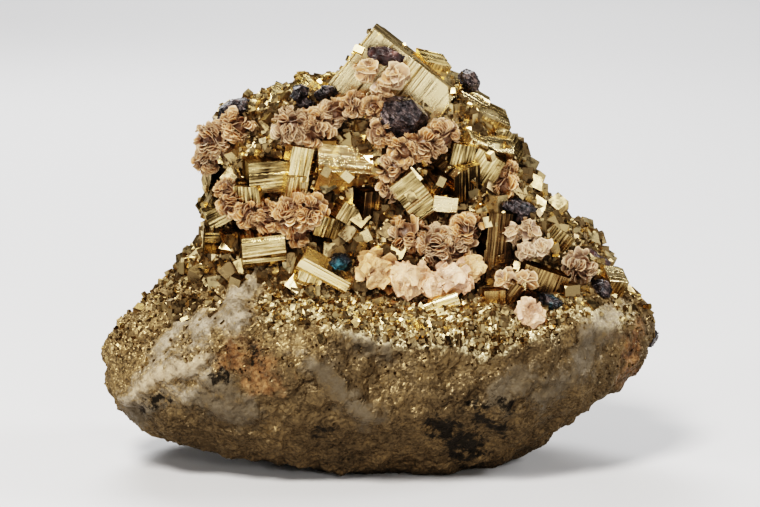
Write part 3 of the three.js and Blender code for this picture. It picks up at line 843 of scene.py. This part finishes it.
def galena_finish():
    """Black lead ore that glitters from many small steps."""
    f = Finish("galena")
    place = f.place()
    cloud = f.noise(place, 480, 5.0, 0.7)
    fine = f.noise(f.stretched(f.turned(place, 0.9), (2600, 500, 500)), 1.0, 4.0, 0.7)
    # A teal tint in patches, over the share written on each crystal
    teal_tint = f.ramp(
        f.noise(place, 260, 3.0),
        (0.46, colour(0.008, 0.008, 0.01)),
        (0.56, colour(0.01, 0.03, 0.038)),
        (0.7, colour(0.05, 0.16, 0.2)),
    )
    plain = f.ramp(
        f.scaled(cloud, 0.55, f.maths("MULTIPLY", fine, 0.45)),
        (0.4, colour(0.005, 0.004, 0.004)),
        (0.52, colour(0.03, 0.022, 0.022)),
        (0.62, colour(0.17, 0.125, 0.115)),
    )
    normal = f.tilted(f.cells(place, 750), 0.3)
    normal = f.tilted(f.cells(place, 2300), 0.6, normal)
    f.surface(
        Base_Color=f.mix(f.attribute("teal_tint"), plain, teal_tint),
        Metallic=0.7,
        Roughness=f.between(cloud, 0.3, 0.7, 0.2, 0.45),
        Normal=f.bump(fine, 0.25, 0.9, normal),
        Specular_IOR_Level=0.6,
    )
    return f.material


def sphalerite_finish():
    """Dark red-brown and resinous."""
    f = Finish("sphalerite")
    place = f.place()
    cloud = f.noise(place, 320, 4.0, 0.65)
    fine = f.noise(f.stretched(place, (900, 900, 2600)), 1.0, 4.0, 0.65)
    skin = f.ramp(
        cloud,
        (0.35, colour(0.008, 0.004, 0.004)),
        (0.55, colour(0.035, 0.014, 0.012)),
        (0.7, colour(0.12, 0.04, 0.025)),
    )
    f.surface(
        Base_Color=skin,
        Metallic=0.2,
        Roughness=f.between(fine, 0.3, 0.7, 0.25, 0.5),
        Normal=f.bump(fine, 0.15, 0.8, f.tilted(f.cells(place, 900), 0.5)),
    )
    return f.material


# The rock


def seen_from_front(points):
    """Where the viewer sees each point: mm across and up from the frame's middle."""
    from_target = points / MM - np.array([0, 0, VIEW_HEIGHT])
    sine, cosine = math.sin(VIEW_ELEVATION), math.cos(VIEW_ELEVATION)
    up = from_target @ np.array([0, sine, cosine])
    away = from_target @ np.array([0, cosine, -sine])
    growth = VIEW_DISTANCE / (VIEW_DISTANCE + away)
    return np.stack([from_target[:, 0] * growth, up * growth], axis=1)


def gap_to(seen, strokes):
    """How far each seen point lies outside the nearest stroke, in mm."""
    nearest = np.full(len(seen), 50.0)
    for start, end, half_width in strokes:
        start, end = np.array(start, float), np.array(end, float)
        along = end - start
        share = np.clip((seen - start) @ along / (along @ along), 0, 1)
        distance = np.linalg.norm(seen - start - share[:, None] * along, axis=1)
        nearest = np.minimum(nearest, distance - half_width)
    return nearest


def smooth_step(values, low, high):
    t = np.clip((values - low) / (high - low), 0, 1)
    return t * t * (3 - 2 * t)


def ragged_bend(points):
    """Bends the patches' edges at each point, in mm across and up."""
    noise.seed_set(BEND_SEED)
    bend = np.zeros((len(points), 2))
    for index, point in enumerate(map(Vector, points)):
        broad = noise.noise_vector(point * BROAD_LUMPS)
        fine = noise.noise_vector(point * FINE_LUMPS)
        across = BROAD_BEND * broad.x + FINE_BEND * fine.x
        up = BROAD_BEND * broad.z + FINE_BEND * fine.z
        bend[index] = (across, up)
    return bend


def patch_gap(points, facing, bend, front, back):
    """How far each point lies outside the patches of its own side of the rock, in mm."""
    turned = points * np.array([-1, -1, 1])
    near = gap_to(seen_from_front(points) + bend, front)
    far = gap_to(seen_from_front(turned) + bend, back)
    near += HIDDEN * smooth_step(facing, 0.1, -0.1)
    far += HIDDEN * smooth_step(facing, -0.1, 0.1)
    return np.minimum(near, far)


def faces_front(rock):
    """How squarely each point of the rock faces the photo's side."""
    return normals(rock) @ np.array(FRONTWARDS)


def raise_quartz(rock, bend):
    """Lets the quartz and its ribs stand out. The vertex groups say where the rock is grainy,
    which is off the quartz, and where it is knobby."""
    points = places(rock)
    facing = faces_front(rock)
    quartz = patch_gap(points, facing, bend, QUARTZ, BACK_QUARTZ)
    rib = patch_gap(points, facing, RIB_BEND * bend, RIB, NO_PATCH)
    raised = RIB_RISE * smooth_step(rib, 1.2, -1.4) + QUARTZ_RISE * smooth_step(quartz, 1, -1)
    set_places(rock, points + normals(rock) * (raised * MM)[:, None])

    knobby = smooth_step(-points[:, 0] / MM, *KNOBBY_LEFT_OF)
    knobby *= smooth_step(points[:, 2] / MM, *KNOBBY_FROM)
    knobby *= smooth_step(quartz, -1, 2)
    paint_group(rock, "grainy", 0.25 + 0.75 * smooth_step(quartz, -2, 1))
    paint_group(rock, "knobby", 0.25 + 0.75 * knobby)


def write_patches(rock, bend):
    """Writes each point's gap to the patches, and its painted light: from 0, painted shade below
    the brink, to 1.
    """
    points = places(rock)
    facing = faces_front(rock)
    bright = patch_gap(points, facing, bend, BRIGHT, NO_PATCH)
    write_attribute(rock, "bright", bright)
    write_attribute(rock, "quartz", patch_gap(points, facing, bend, QUARTZ, BACK_QUARTZ))
    write_attribute(rock, "rust", patch_gap(points, facing, bend, RUST, BACK_RUST))
    stain = patch_gap(points, facing, STAIN_BEND * bend, STAIN, BACK_STAIN)
    write_attribute(rock, "stain", stain)
    write_attribute(rock, "rib", patch_gap(points, facing, RIB_BEND * bend, BEIGE, NO_PATCH))

    height = points[:, 2] / MM
    brink = BRINK
    for drop, near, far in BRINK_DROPS:
        brink = brink - drop * smooth_step(-points[:, 0] / MM, near, far)
    rise = height - brink + 0.5 * bend[:, 1]
    # Painted shade below the brink, painted light above it and higher up the tower, and more
    # painted light on the bright ledge
    painted_light = 0.08 + 0.5 * smooth_step(rise, -5, 3) + 0.37 * smooth_step(height, 42, 50)
    write_attribute(rock, "painted_light", np.minimum(painted_light + 0.5 * smooth_step(bright, 1, -3), 1.0))


def model_rock():
    parts = [merged_copy("granular_matrix", "rock_of_granular_pyrite")]
    for middle, radius in ROCK_LOBES:
        spot = Vector(middle) * MM
        bpy.ops.mesh.primitive_ico_sphere_add(subdivisions=3, radius=radius * MM, location=spot)
        parts.append(bpy.context.object)
        settle(parts[-1])
    rock = joined(parts, "rock_of_granular_pyrite")
    one_skin(rock, ROCK_VOXEL)
    apply_modifiers(rock)

    bend = ragged_bend(places(rock))
    raise_quartz(rock, bend)
    displace(rock, "swells", "ORIGINAL_PERLIN", size=12, rise=4.2, middle=0.34)
    displace(rock, "boulders", "VORONOI_F2_F1", size=7, rise=2.4, middle=0.28)
    displace(rock, "clusters", "VORONOI_F1", size=3.6, rise=-3.2, middle=0.45, group="knobby")
    displace(rock, "knobs", "VORONOI_F2_F1", size=2.6, rise=0.8, middle=0.35, group="grainy")
    displace(rock, "grains", "VORONOI_F1", size=1.2, rise=-0.6, middle=0.4, group="grainy")
    apply_modifiers(rock)
    keep_inside(rock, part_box("granular_matrix"))
    write_patches(rock, bend)
    return rock


# Small crystals that cover the rock


def grain_shape(name, edges, corner):
    """One small pyrite crystal, a metre across, with a corner cut off."""
    bpy.ops.mesh.primitive_cube_add(size=1)
    shape = bpy.context.object
    shape.name = name
    shape.scale = edges
    settle(shape)
    bpy.ops.object.mode_set(mode="EDIT")
    slice_off([corner * edge / 2 for edge in edges], (1, 0.8, 0.9))
    bpy.ops.object.mode_set(mode="OBJECT")
    return shape


def scatter(surface, shape, name, density, sizes, seed, dimmest=0.0):
    """Grows copies of a small crystal on the surface. density is a number for each of the
    surface's vertices: how many crystals a square millimetre. dimmest is the least tone."""
    host = own_copy(surface)
    host.name = name
    write_attribute(host, "density", density / MM**2)

    tree = bpy.data.node_groups.new(name, "GeometryNodeTree")
    tree.interface.new_socket("Geometry", in_out="INPUT", socket_type="NodeSocketGeometry")
    tree.interface.new_socket("Geometry", in_out="OUTPUT", socket_type="NodeSocketGeometry")
    add = partial(add_node, tree)
    start = add("NodeGroupInput")
    crowd = add("GeometryNodeInputNamedAttribute", {"Name": "density"}, data_type="FLOAT")
    spots = add(
        "GeometryNodeDistributePointsOnFaces",
        {"Mesh": start.outputs[0], "Density": crowd.outputs[0], "Seed": seed},
    )
    turn = add(
        "FunctionNodeRandomValue",
        {0: (0, 0, 0), 1: (math.tau, math.tau, math.tau), "Seed": seed + 1},
        data_type="FLOAT_VECTOR",
    )
    chance = add("FunctionNodeRandomValue", {2: 0.0, 3: 1.0, "Seed": seed + 2}, data_type="FLOAT")
    mostly_small = add("ShaderNodeMath", {0: chance.outputs[1], 1: 2.2}, operation="POWER")
    low, high = sizes
    size = add(
        "ShaderNodeMath",
        {0: mostly_small.outputs[0], 1: (high - low) * MM, 2: low * MM},
        operation="MULTIPLY_ADD",
    )
    crystal = add("GeometryNodeObjectInfo", {"Object": shape})
    grown = add(
        "GeometryNodeInstanceOnPoints",
        {
            "Points": spots.outputs["Points"],
            "Instance": crystal.outputs["Geometry"],
            "Rotation": turn.outputs[0],
            "Scale": size.outputs[0],
        },
    )
    tones = {2: dimmest, 3: 1.0, "Seed": seed + 3}
    tone = add("FunctionNodeRandomValue", tones, data_type="FLOAT")
    toned = add(
        "GeometryNodeStoreNamedAttribute",
        {"Geometry": grown.outputs[0], "Name": "tone", "Value": tone.outputs[1]},
        data_type="FLOAT",
        domain="INSTANCE",
    )
    solid = add("GeometryNodeRealizeInstances", {"Geometry": toned.outputs[0]})
    add("NodeGroupOutput", {0: solid.outputs[0]})

    grower = host.modifiers.new("grower", "NODES")
    grower.node_group = tree
    apply_modifiers(host)
    keep_inside(host, cad_box)
    return host


def grow_small_crystals(rock):
    """Coats of small crystals on the rock, which leave its quartz nearly bare."""
    height = places(rock)[:, 2] / MM
    leftward = -places(rock)[:, 0] / MM
    upward = normals(rock)[:, 2]
    off_quartz = 0.06 + 0.94 * smooth_step(read_attribute(rock, "quartz"), -1, 2)
    above_ledge = smooth_step(height, *TOWER_FROM)
    tower = above_ledge * off_quartz
    below_summit = 1 - smooth_step(height, *SUMMIT_FROM)
    ledge = smooth_step(height, *LEDGE_FROM) * smooth_step(upward, 0.0, 0.5) * off_quartz
    shine = smooth_step(read_attribute(rock, "bright"), 1, -2) * off_quartz
    rough = smooth_step(height, *ROUGH_FROM) * (1 - above_ledge) * off_quartz
    lit = smooth_step(height, *LIT_FROM)
    left_end = smooth_step(leftward, *LEFT_END_LEFT_OF) * smooth_step(height, *LEFT_END_FROM)
    left_end *= off_quartz
    scales = 0.05 * rough * lit + 0.4 * left_end

    cube = grain_shape("grain_cube", (1, 1, 1), 0.9)
    slab = grain_shape("grain_slab", (1, 0.8, 0.5), 0.85)
    splinter = grain_shape("grain_splinter", (1, 0.35, 0.4), 0.8)
    coats = [
        scatter(rock, cube, "druse_cubes", 0.15 * tower * below_summit, (1.4, 4.2), seed=11),
        scatter(rock, slab, "druse_slabs", 0.45 * tower + 0.1 * ledge, (0.8, 3.0), seed=21),
        scatter(rock, splinter, "druse_splinters", 0.2 * tower + 0.2 * ledge, (0.9, 3), seed=31),
        scatter(rock, slab, "ledge_chips", 1.3 * shine, (0.4, 2.0), seed=61, dimmest=0.4),
        scatter(rock, cube, "grains_of_rock", 0.3 * rough * lit, (0.25, 0.5), seed=41),
        scatter(rock, slab, "scales_of_rock", scales, (0.4, 1.2), seed=51),
    ]
    discard(cube, slab, splinter)
    return coats


# Pyrite crystals


def cut_strips(block, edges):
    """Cuts a cube into strips along X, Y and Z in turn."""
    pick(block)
    bpy.ops.object.mode_set(mode="EDIT")
    bpy.ops.mesh.select_mode(type="EDGE")
    for axis, edge in enumerate(edges):
        bpy.ops.mesh.select_all(action="DESELECT")
        bpy.ops.object.mode_set(mode="OBJECT")
        points = places(block)
        ends = np.empty(len(block.data.edges) * 2, int)
        block.data.edges.foreach_get("vertices", ends)
        way = np.abs(points[ends[1::2]] - points[ends[::2]])
        block.data.edges.foreach_set("select", way.argmax(axis=1) == axis)
        bpy.ops.object.mode_set(mode="EDIT")
        bpy.ops.mesh.subdivide(number_cuts=min(MOST_STRIPS, max(4, round(edge / STRIA))))
    bpy.ops.object.mode_set(mode="OBJECT")


def step_profile(count, size, roll):
    """Heights, in mm, of the strips' edges across a face: small tilts on a few terraces."""
    tilts = roll.uniform(-STRIA_TILT, STRIA_TILT, count)
    terraces = np.zeros(count)
    for _ in range(max(2, round(size / TERRACE_SPACING))):
        terraces[roll.integers(0, count) :] += roll.uniform(-1, 1) * TERRACE
    heights = tilts + terraces
    return heights - heights.max()


def strip_edges(points, axis):
    """Where the cuts lie along an axis, and which of them each point is on."""
    rounded = np.round(points[:, axis], 7)
    levels = np.unique(rounded)
    return levels, np.searchsorted(levels, rounded)


def step_faces(points, edges, next_axis, roll):
    """Moves a cut box's points in and out, so that each face has steps that run one way."""
    half = np.array(edges) * MM / 2
    moved = points.copy()
    for axis in range(3):
        levels, own = strip_edges(points, axis)
        jitter = roll.uniform(-STRIA_JITTER, STRIA_JITTER, len(levels)) * (levels[1] - levels[0])
        jitter[[0, -1]] = 0
        moved[:, axis] += jitter[own]
    for face in range(3):
        across, along = (face - next_axis) % 3, (face + next_axis) % 3
        levels, column = strip_edges(points, across)
        share = points[:, along] / (2 * half[along])
        for side in (-1, 1):
            on_face = np.abs(points[:, face] - side * half[face]) < 1e-6
            heights = step_profile(len(levels), edges[across], roll)
            drift = roll.uniform(-STRIA_DRIFT, STRIA_DRIFT, len(levels))
            rise = heights[column] + drift[column] * share
            moved[on_face, face] += side * rise[on_face] * MM
    return moved


def map_striae(block, next_axis):
    """A UV map in mm that runs across the striations in U and along them in V."""
    points = places(block) / MM
    mesh = block.data
    layer = mesh.uv_layers.new(name="striae")
    corners = np.empty(len(mesh.loops), int)
    mesh.loops.foreach_get("vertex_index", corners)
    size = np.empty(len(mesh.polygons), int)
    mesh.polygons.foreach_get("loop_total", size)
    face = np.repeat(np.abs(triples(mesh.polygons, "normal")).argmax(axis=1), size)
    rows = np.arange(len(corners))
    across = points[corners][rows, (face - next_axis) % 3]
    along = points[corners][rows, (face + next_axis) % 3]
    mapped = np.stack([across + MAP_GAP * face, along], axis=1)
    layer.data.foreach_set("uv", mapped.astype(np.float32).ravel())
    for spare in [layer for layer in mesh.uv_layers if layer.name != "striae"]:
        mesh.uv_layers.remove(spare)


def cut_corners(block, edges, cut):
    """Cuts the eight corners off, as an octahedron's faces do."""
    pick(block)
    bpy.ops.object.mode_set(mode="EDIT")
    reach = [edge * MM * (1.5 - cut) for edge in edges]
    for corner in range(8):
        signs = [1 if corner >> axis & 1 else -1 for axis in range(3)]
        normal = [sign / far for sign, far in zip(signs, reach)]
        slice_off((signs[0] * reach[0], 0, 0), normal)
    bpy.ops.object.mode_set(mode="OBJECT")


def chip(block, edges, roll):
    """Breaks a few corners and edges off at odd angles."""
    pick(block)
    bpy.ops.object.mode_set(mode="EDIT")
    for _ in range(CHIPS):
        signs = np.where(roll.random(3) < 0.5, -1, 1)
        facing = signs * roll.uniform(0.1, 1, 3) * (roll.random(3) > 0.2)
        if not facing.any():
            continue
        facing /= np.linalg.norm(facing)
        corner = signs * np.array(edges) / 2
        depth = roll.uniform(*CHIP_DEPTH) * min(edges)
        slice_off((corner - facing * depth) * MM, facing)
    bpy.ops.object.mode_set(mode="OBJECT")


def write_face_tones(block, tone, roll):
    """Each side of the block is a little brighter or darker than the others."""
    facing = triples(block.data.polygons, "normal")
    axis = np.abs(facing).argmax(axis=1)
    side = np.take_along_axis(facing, axis[:, None], 1)[:, 0] > 0
    tones = tone + roll.uniform(-SIDE_TONE, SIDE_TONE, 6)[axis * 2 + side]
    broken = np.abs(facing).max(axis=1) < 0.9
    tones[broken] = tone + SIDE_TONE * np.sin(facing[broken] @ np.array([17, 23, 31]))
    write_attribute(block, "tone", tones, "FACE")


def pyrite_block(middle, edges, turn, cut, tone, seed):
    """One crystal: a cube or a prism with striated faces, worn by a few chips."""
    roll = np.random.default_rng(seed)
    next_axis = -1 if middle in CROSSED else 1
    bpy.ops.mesh.primitive_cube_add(size=1)
    block = bpy.context.object
    block.scale = [edge * MM for edge in edges]
    settle(block)
    cut_strips(block, edges)
    set_places(block, step_faces(places(block), edges, next_axis, roll))
    if cut:
        cut_corners(block, edges, cut)
    chip(block, edges, roll)
    map_striae(block, next_axis)
    write_face_tones(block, tone, roll)
    block.location = [value * MM for value in middle]
    block.rotation_euler = [math.radians(angle) for angle in turn]
    settle(block)
    return block


def model_pyrite(finish, amber):
    pieces = []
    for node, rows in rows_by_node(PYRITE):
        blocks = [pyrite_block(*row, seed=PYRITE_SEED + index) for index, *row in rows]
        piece = joined(blocks, "crystals_" + node)
        keep_inside(piece, cad_box)
        dress(piece, amber if node in AMBER_NODES else finish, "pyrite", "pyrite_" + node)
        pieces.append(piece)
    return pieces


def grow_on_crystals(pieces):
    """Small crystals that stand on the larger ones."""
    ground = joined([own_copy(piece) for piece in pieces], "ground")
    # The riders take full painted light
    write_attribute(ground, "painted_light", 1.0)
    shape = grain_shape("grain_block", (1, 0.8, 0.7), 0.9)
    grown = scatter(ground, shape, "riders", 0.012, (0.8, 3.0), seed=81, dimmest=0.4)
    discard(shape, ground)
    return grown


# Siderite


def blade(seed, thickness, ragged):
    """One thin curved plate, its radius a metre, with a ragged rim."""
    roll = np.random.default_rng(seed)
    bpy.ops.mesh.primitive_circle_add(vertices=BLADE_CORNERS, radius=1, fill_type="NGON")
    plate = bpy.context.object
    bpy.ops.object.mode_set(mode="EDIT")
    bpy.ops.mesh.select_all(action="SELECT")
    bpy.ops.mesh.inset(thickness=0.3)
    bpy.ops.mesh.poke()
    bpy.ops.object.mode_set(mode="OBJECT")
    points = places(plate)
    radius = np.hypot(points[:, 0], points[:, 1])
    angle = np.arctan2(points[:, 1], points[:, 0])
    lean = roll.uniform(0, math.tau, 5)
    outline = 1 + 0.16 * np.sin(2 * angle + lean[0]) + 0.1 * np.sin(5 * angle + lean[1])
    teeth = roll.uniform(-ragged, ragged, len(points)) * (radius > 0.9)
    points[:, :2] *= (outline * (1 + teeth))[:, None]
    saddle = 0.24 * radius**2 * np.cos(2 * angle + lean[2])
    ruffle = 0.06 * radius**3 * np.sin(5 * angle + lean[3])
    points[:, 2] = saddle + ruffle + 0.4 * teeth
    set_places(plate, points)
    write_attribute(plate, "rim", radius)
    shell = plate.modifiers.new("shell", "SOLIDIFY")
    shell.thickness = thickness
    shell.offset = 0
    apply_modifiers(plate)
    return plate


def placed_blade(kind, middle, radius, spin, leaf):
    """A copy of a blade, set in place. leaf is its own shade."""
    copy = own_copy(kind)
    place = Matrix.Translation(Vector(middle) * MM)
    copy.data.transform(place @ spin @ Matrix.Scale(radius * MM, 4))
    write_attribute(copy, "leaf", leaf)
    return copy


def turned_to(facing, roll):
    """A turn that faces a plate that way and spins it at random."""
    spin = facing.to_track_quat("Z", "Y").to_matrix().to_4x4()
    return spin @ Matrix.Rotation(roll.uniform(0, math.tau), 4, "Z")


def anywhere(roll):
    return Vector(roll.gauss(0, 1) for _ in range(3)).normalized()


def core(middle, radius):
    """The solid heart of a rosette, which its blades hide."""
    bpy.ops.mesh.primitive_ico_sphere_add(subdivisions=3, radius=radius * MM)
    heart = bpy.context.object
    displace(heart, "heart", "ORIGINAL_PERLIN", size=2, rise=1.2)
    apply_modifiers(heart)
    heart.location = Vector(middle) * MM
    settle(heart)
    write_attribute(heart, "rim", 0.3)
    write_attribute(heart, "leaf", 0.4)
    return heart


def bundle(middle, radius, out, kinds, roll):
    """A few blades that fan out like the leaves of an open book."""
    side = Matrix.Rotation(roll.uniform(0, math.tau), 4, out) @ out.orthogonal()
    hinge = out.cross(side)
    size = max(LEAST_BLADE, radius * roll.uniform(*BUNDLE_SIZES))
    root = Vector(middle) + out * (radius - 0.95 * size)
    shade = roll.random()
    blades = []
    for step in range(BUNDLE_BLADES):
        offset = step - (BUNDLE_BLADES - 1) / 2 + roll.uniform(-0.3, 0.3)
        facing = Matrix.Rotation(BUNDLE_SPREAD * offset, 4, hinge) @ side
        spot = root + side * (0.2 * size * offset)
        leaf = min(1, max(0, shade + roll.uniform(-LEAF_SWAY, LEAF_SWAY)))
        own_size = size * roll.uniform(0.8, 1)
        kind = roll.choice(kinds)
        blades.append(placed_blade(kind, spot, own_size, turned_to(facing, roll), leaf))
    return blades


def fan_blade(middle, radius, axis, index, kinds, roll):
    """One of the large blades that stand round an axis through the lobe's middle."""
    angle = math.pi * (index + roll.uniform(-0.3, 0.3)) / FAN_BLADES
    facing = Matrix.Rotation(angle, 4, axis) @ axis.orthogonal()
    facing = (facing + axis * roll.uniform(-0.35, 0.35)).normalized()
    size = radius * roll.uniform(*FAN_SIZES)
    kind = roll.choice(kinds)
    spin = turned_to(facing, roll)
    return placed_blade(kind, middle, size, spin, roll.random())


def open_plate(middle, radius, kinds, roll):
    """A large plate whose flat side faces the viewer's side."""
    out = Vector((roll.uniform(-1, 1), -1, roll.uniform(-1, 1))).normalized()
    facing = (out + 0.35 * anywhere(roll)).normalized()
    spot = Vector(middle) + out * (0.62 * radius)
    size = radius * roll.uniform(*OPEN_SIZES)
    kind = roll.choice(kinds)
    spin = turned_to(facing, roll)
    return placed_blade(kind, spot, size, spin, roll.random())


def rosette(middle, radius, is_open, kinds, roll):
    """A lobe: blades fanned about one axis, with bundles of smaller ones all over its skin. An
    open one shows the flat of a few large plates to the front."""
    blades = [core(middle, HEART_SIZE * radius)]
    axis = anywhere(roll)
    for index in range(FAN_BLADES):
        blades.append(fan_blade(middle, radius, axis, index, kinds, roll))
    for _ in range(round(BUNDLES * radius * (OPEN_BUNDLES if is_open else 1))):
        blades += bundle(middle, radius, anywhere(roll), kinds, roll)
    for _ in range(OPEN_PLATES if is_open else 0):
        blades.append(open_plate(middle, radius, kinds, roll))
    return blades


def pale_lump(middle, radius, roll):
    """A lump of crystals grown together, each a block with worn edges."""
    blocks = []
    for _ in range(PALE_BLOCKS):
        bpy.ops.mesh.primitive_cube_add(size=radius * roll.uniform(*PALE_BLOCK_SIZES) * MM)
        block = bpy.context.object
        block.scale = (1, 0.8, roll.uniform(0.6, 1))
        turns = [roll.uniform(-PALE_BLOCK_TURN, PALE_BLOCK_TURN) for _ in range(3)]
        block.rotation_euler = turns
        block.rotation_euler.y += math.pi / 4
        out = anywhere(roll)
        out.y = -abs(out.y)
        block.location = (Vector(middle) + out * (PALE_BLOCK_OFFSET * radius)) * MM
        settle(block)
        blocks.append(block)
    lump = joined(blocks, "lump")
    one_skin(lump, PALE_VOXEL)
    displace(lump, "dents", "ORIGINAL_PERLIN", size=2.2, rise=0.8)
    displace(lump, "cracks", "VORONOI_F2_F1", size=1.7, rise=0.5, middle=0.4)
    displace(lump, "crumbs", "VORONOI_F1", size=0.8, rise=-0.35, middle=0.4)
    apply_modifiers(lump)
    write_attribute(lump, "rim", 0.3)
    write_attribute(lump, "leaf", 0.5)
    return lump


def pale_plate(middle, radius, kinds, roll):
    """A ragged plate on the lump's skin that faces the viewer's side."""
    out = Vector((roll.uniform(-1, 1), roll.uniform(-0.9, 0.5), roll.uniform(-0.4, 1)))
    facing = Vector((roll.uniform(-0.8, 0.8), -1, roll.uniform(-0.5, 0.5)))
    size = radius * roll.uniform(*PALE_PLATE_SIZES)
    spot = Vector(middle) + out.normalized() * (radius - 0.9 * size)
    spin = turned_to(facing, roll)
    return placed_blade(roll.choice(kinds), spot, size, spin, roll.random())


def tinted_lobe(parts, middle, radius, tint):
    """Joins a lobe's parts. depth is each point's distance from its middle, in radii."""
    lobe = joined(parts, "lobe")
    write_attribute(lobe, "tint", tint)
    reach = np.linalg.norm(places(lobe) / MM - np.array(middle), axis=1)
    write_attribute(lobe, "depth", reach / radius)
    return lobe


def finish_siderite(lobes, name, node, finish):
    piece = joined(lobes, name)
    keep_inside(piece, cad_box)
    dress(piece, finish, "siderite", "siderite_" + node)


def model_siderite(finish):
    kinds = [blade(BLADE_SEED + k, BLADE_THICKNESS, BLADE_TEETH) for k in range(BLADE_KINDS)]
    for node, rows in rows_by_node(SIDERITE):
        lobes = []
        for index, middle, radius, tint in rows:
            roll = random.Random(ROSETTE_SEED + index)
            blades = rosette(middle, radius, node in OPEN_ROSETTES, kinds, roll)
            lobes.append(tinted_lobe(blades, middle, radius, tint))
        finish_siderite(lobes, "rosettes_" + node, node, finish)
    discard(*kinds)


def model_pale_siderite(finish):
    kinds = [blade(PALE_BLADE_SEED + k, PALE_THICKNESS, PALE_TEETH) for k in range(BLADE_KINDS)]
    for node, rows in rows_by_node(PALE_SIDERITE):
        lobes = []
        for index, middle, radius, tint in rows:
            roll = random.Random(PALE_SEED + index)
            parts = [pale_lump(middle, radius, roll)]
            for _ in range(PALE_PLATES):
                parts.append(pale_plate(middle, radius, kinds, roll))
            lobes.append(tinted_lobe(parts, middle, radius, tint))
        finish_siderite(lobes, "plates_" + node, node, finish)
    discard(*kinds)


# Dark crystals


def worn_crystal(node):
    """A packed dark crystal with worn edges and a finely stepped skin."""
    piece = merged_copy(node, "worn_" + node)
    one_skin(piece, DARK_VOXEL)
    worn = piece.modifiers.new("worn", "SMOOTH")
    worn.iterations = DARK_WEAR
    displace(piece, "facets", "VORONOI_F2_F1", size=4.5, rise=1.1, middle=0.55)
    displace(piece, "pits", "VORONOI_F2_F1", size=1.8, rise=0.2, middle=0.7)
    displace(piece, "steps", "ORIGINAL_PERLIN", size=0.7, rise=0.12, middle=0.6)
    apply_modifiers(piece)
    pick(piece)
    bpy.ops.object.shade_smooth_by_angle(angle=DARK_EDGE)
    return piece


def model_dark_crystals(lead, blende):
    for node, share in GALENA:
        piece = worn_crystal(node)
        write_attribute(piece, "teal_tint", share)
        dress(piece, lead, "galena", node)
    for node in SPHALERITE:
        dress(worn_crystal(node), blende, "sphalerite", node)


# The studio, whose places and sizes are in metres


def floor():
    bpy.ops.mesh.primitive_circle_add(vertices=96, radius=6, fill_type="NGON")
    ground = bpy.context.object
    ground.name = "floor"
    f = Finish("pale floor")
    f.surface(Base_Color=colour(0.62, 0.62, 0.63), Roughness=0.7)
    ground.data.materials.append(f.material)


def soft_light(name, place, size, power, tint=(1, 1, 1), aim=(0, 0, VIEW_HEIGHT * MM)):
    """A square area light that faces the specimen's middle, or another point."""
    bpy.ops.object.light_add(type="AREA", location=place)
    lamp = bpy.context.object
    lamp.name = name
    lamp.data.size = size
    lamp.data.energy = power
    lamp.data.color = tint
    ray = Vector(aim) - lamp.location
    lamp.rotation_euler = ray.to_track_quat("-Z", "Y").to_euler()


def studio():
    floor()
    soft_light("key", (-0.3, -0.65, 0.9), size=0.3, power=19, tint=(1.0, 0.96, 0.9))
    soft_light("front", (0.3, -1.2, 0.45), size=0.18, power=3.5, tint=(1.0, 0.97, 0.92))
    soft_light("left_front", (-1.0, -0.6, 0.35), size=0.2, power=4)
    soft_light("right_rim", (0.9, 0.1, 0.5), size=0.3, power=6)
    soft_light("back_top", (-0.3, 0.9, 0.9), size=0.6, power=12)
    soft_light("backdrop", (0, 1.9, 1.3), size=1.2, power=30, aim=(0, 2.3, 0))
    world = bpy.data.worlds.new("studio")
    bpy.context.scene.world = world
    world.use_nodes = True
    background = world.node_tree.nodes["Background"]
    background.inputs["Color"].default_value = colour(0.8, 0.79, 0.77)
    background.inputs["Strength"].default_value = 0.15
    bpy.context.scene.view_settings.view_transform = "Filmic"
    bpy.context.scene.view_settings.look = "High Contrast"


def camera():
    back = Vector((0, -math.cos(VIEW_ELEVATION), math.sin(VIEW_ELEVATION)))
    target = Vector((0, 0, VIEW_HEIGHT * MM))
    bpy.ops.object.camera_add(location=target + back * VIEW_DISTANCE * MM)
    eye = bpy.context.object
    eye.rotation_euler = (-back).to_track_quat("-Z", "Y").to_euler()
    eye.data.lens = LENS
    eye.data.sensor_width = SENSOR
    eye.data.clip_start = 0.01
    bpy.context.scene.camera = eye


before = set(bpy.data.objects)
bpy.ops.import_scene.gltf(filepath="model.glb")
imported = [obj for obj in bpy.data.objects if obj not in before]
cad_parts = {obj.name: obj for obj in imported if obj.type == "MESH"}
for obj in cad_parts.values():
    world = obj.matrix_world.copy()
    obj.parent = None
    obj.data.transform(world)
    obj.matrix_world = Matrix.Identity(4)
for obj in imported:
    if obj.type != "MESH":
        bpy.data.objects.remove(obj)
cad_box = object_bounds()
deselect_all()
camera()
studio()

rock = model_rock()
coats = grow_small_crystals(rock)
dress(rock, rock_finish(), "matrix", "granular_matrix")
small_crystals = grain_finish()
for coat in coats:
    dress(coat, small_crystals, "pyrite")

striated = pyrite_finish(
    "striated pyrite",
    dark=colour(0.13, 0.09, 0.04),
    middle=colour(0.45, 0.325, 0.15),
    light=colour(1.0, 0.79, 0.46),
)
amber_striated = pyrite_finish(
    "amber striated pyrite",
    dark=colour(0.05, 0.03, 0.014),
    middle=colour(0.15, 0.09, 0.04),
    light=colour(0.46, 0.31, 0.14),
)
crystals = model_pyrite(striated, amber_striated)
dress(grow_on_crystals(crystals), small_crystals, "pyrite")
model_siderite(siderite_finish())
model_pale_siderite(pale_siderite_finish())
model_dark_crystals(galena_finish(), sphalerite_finish())
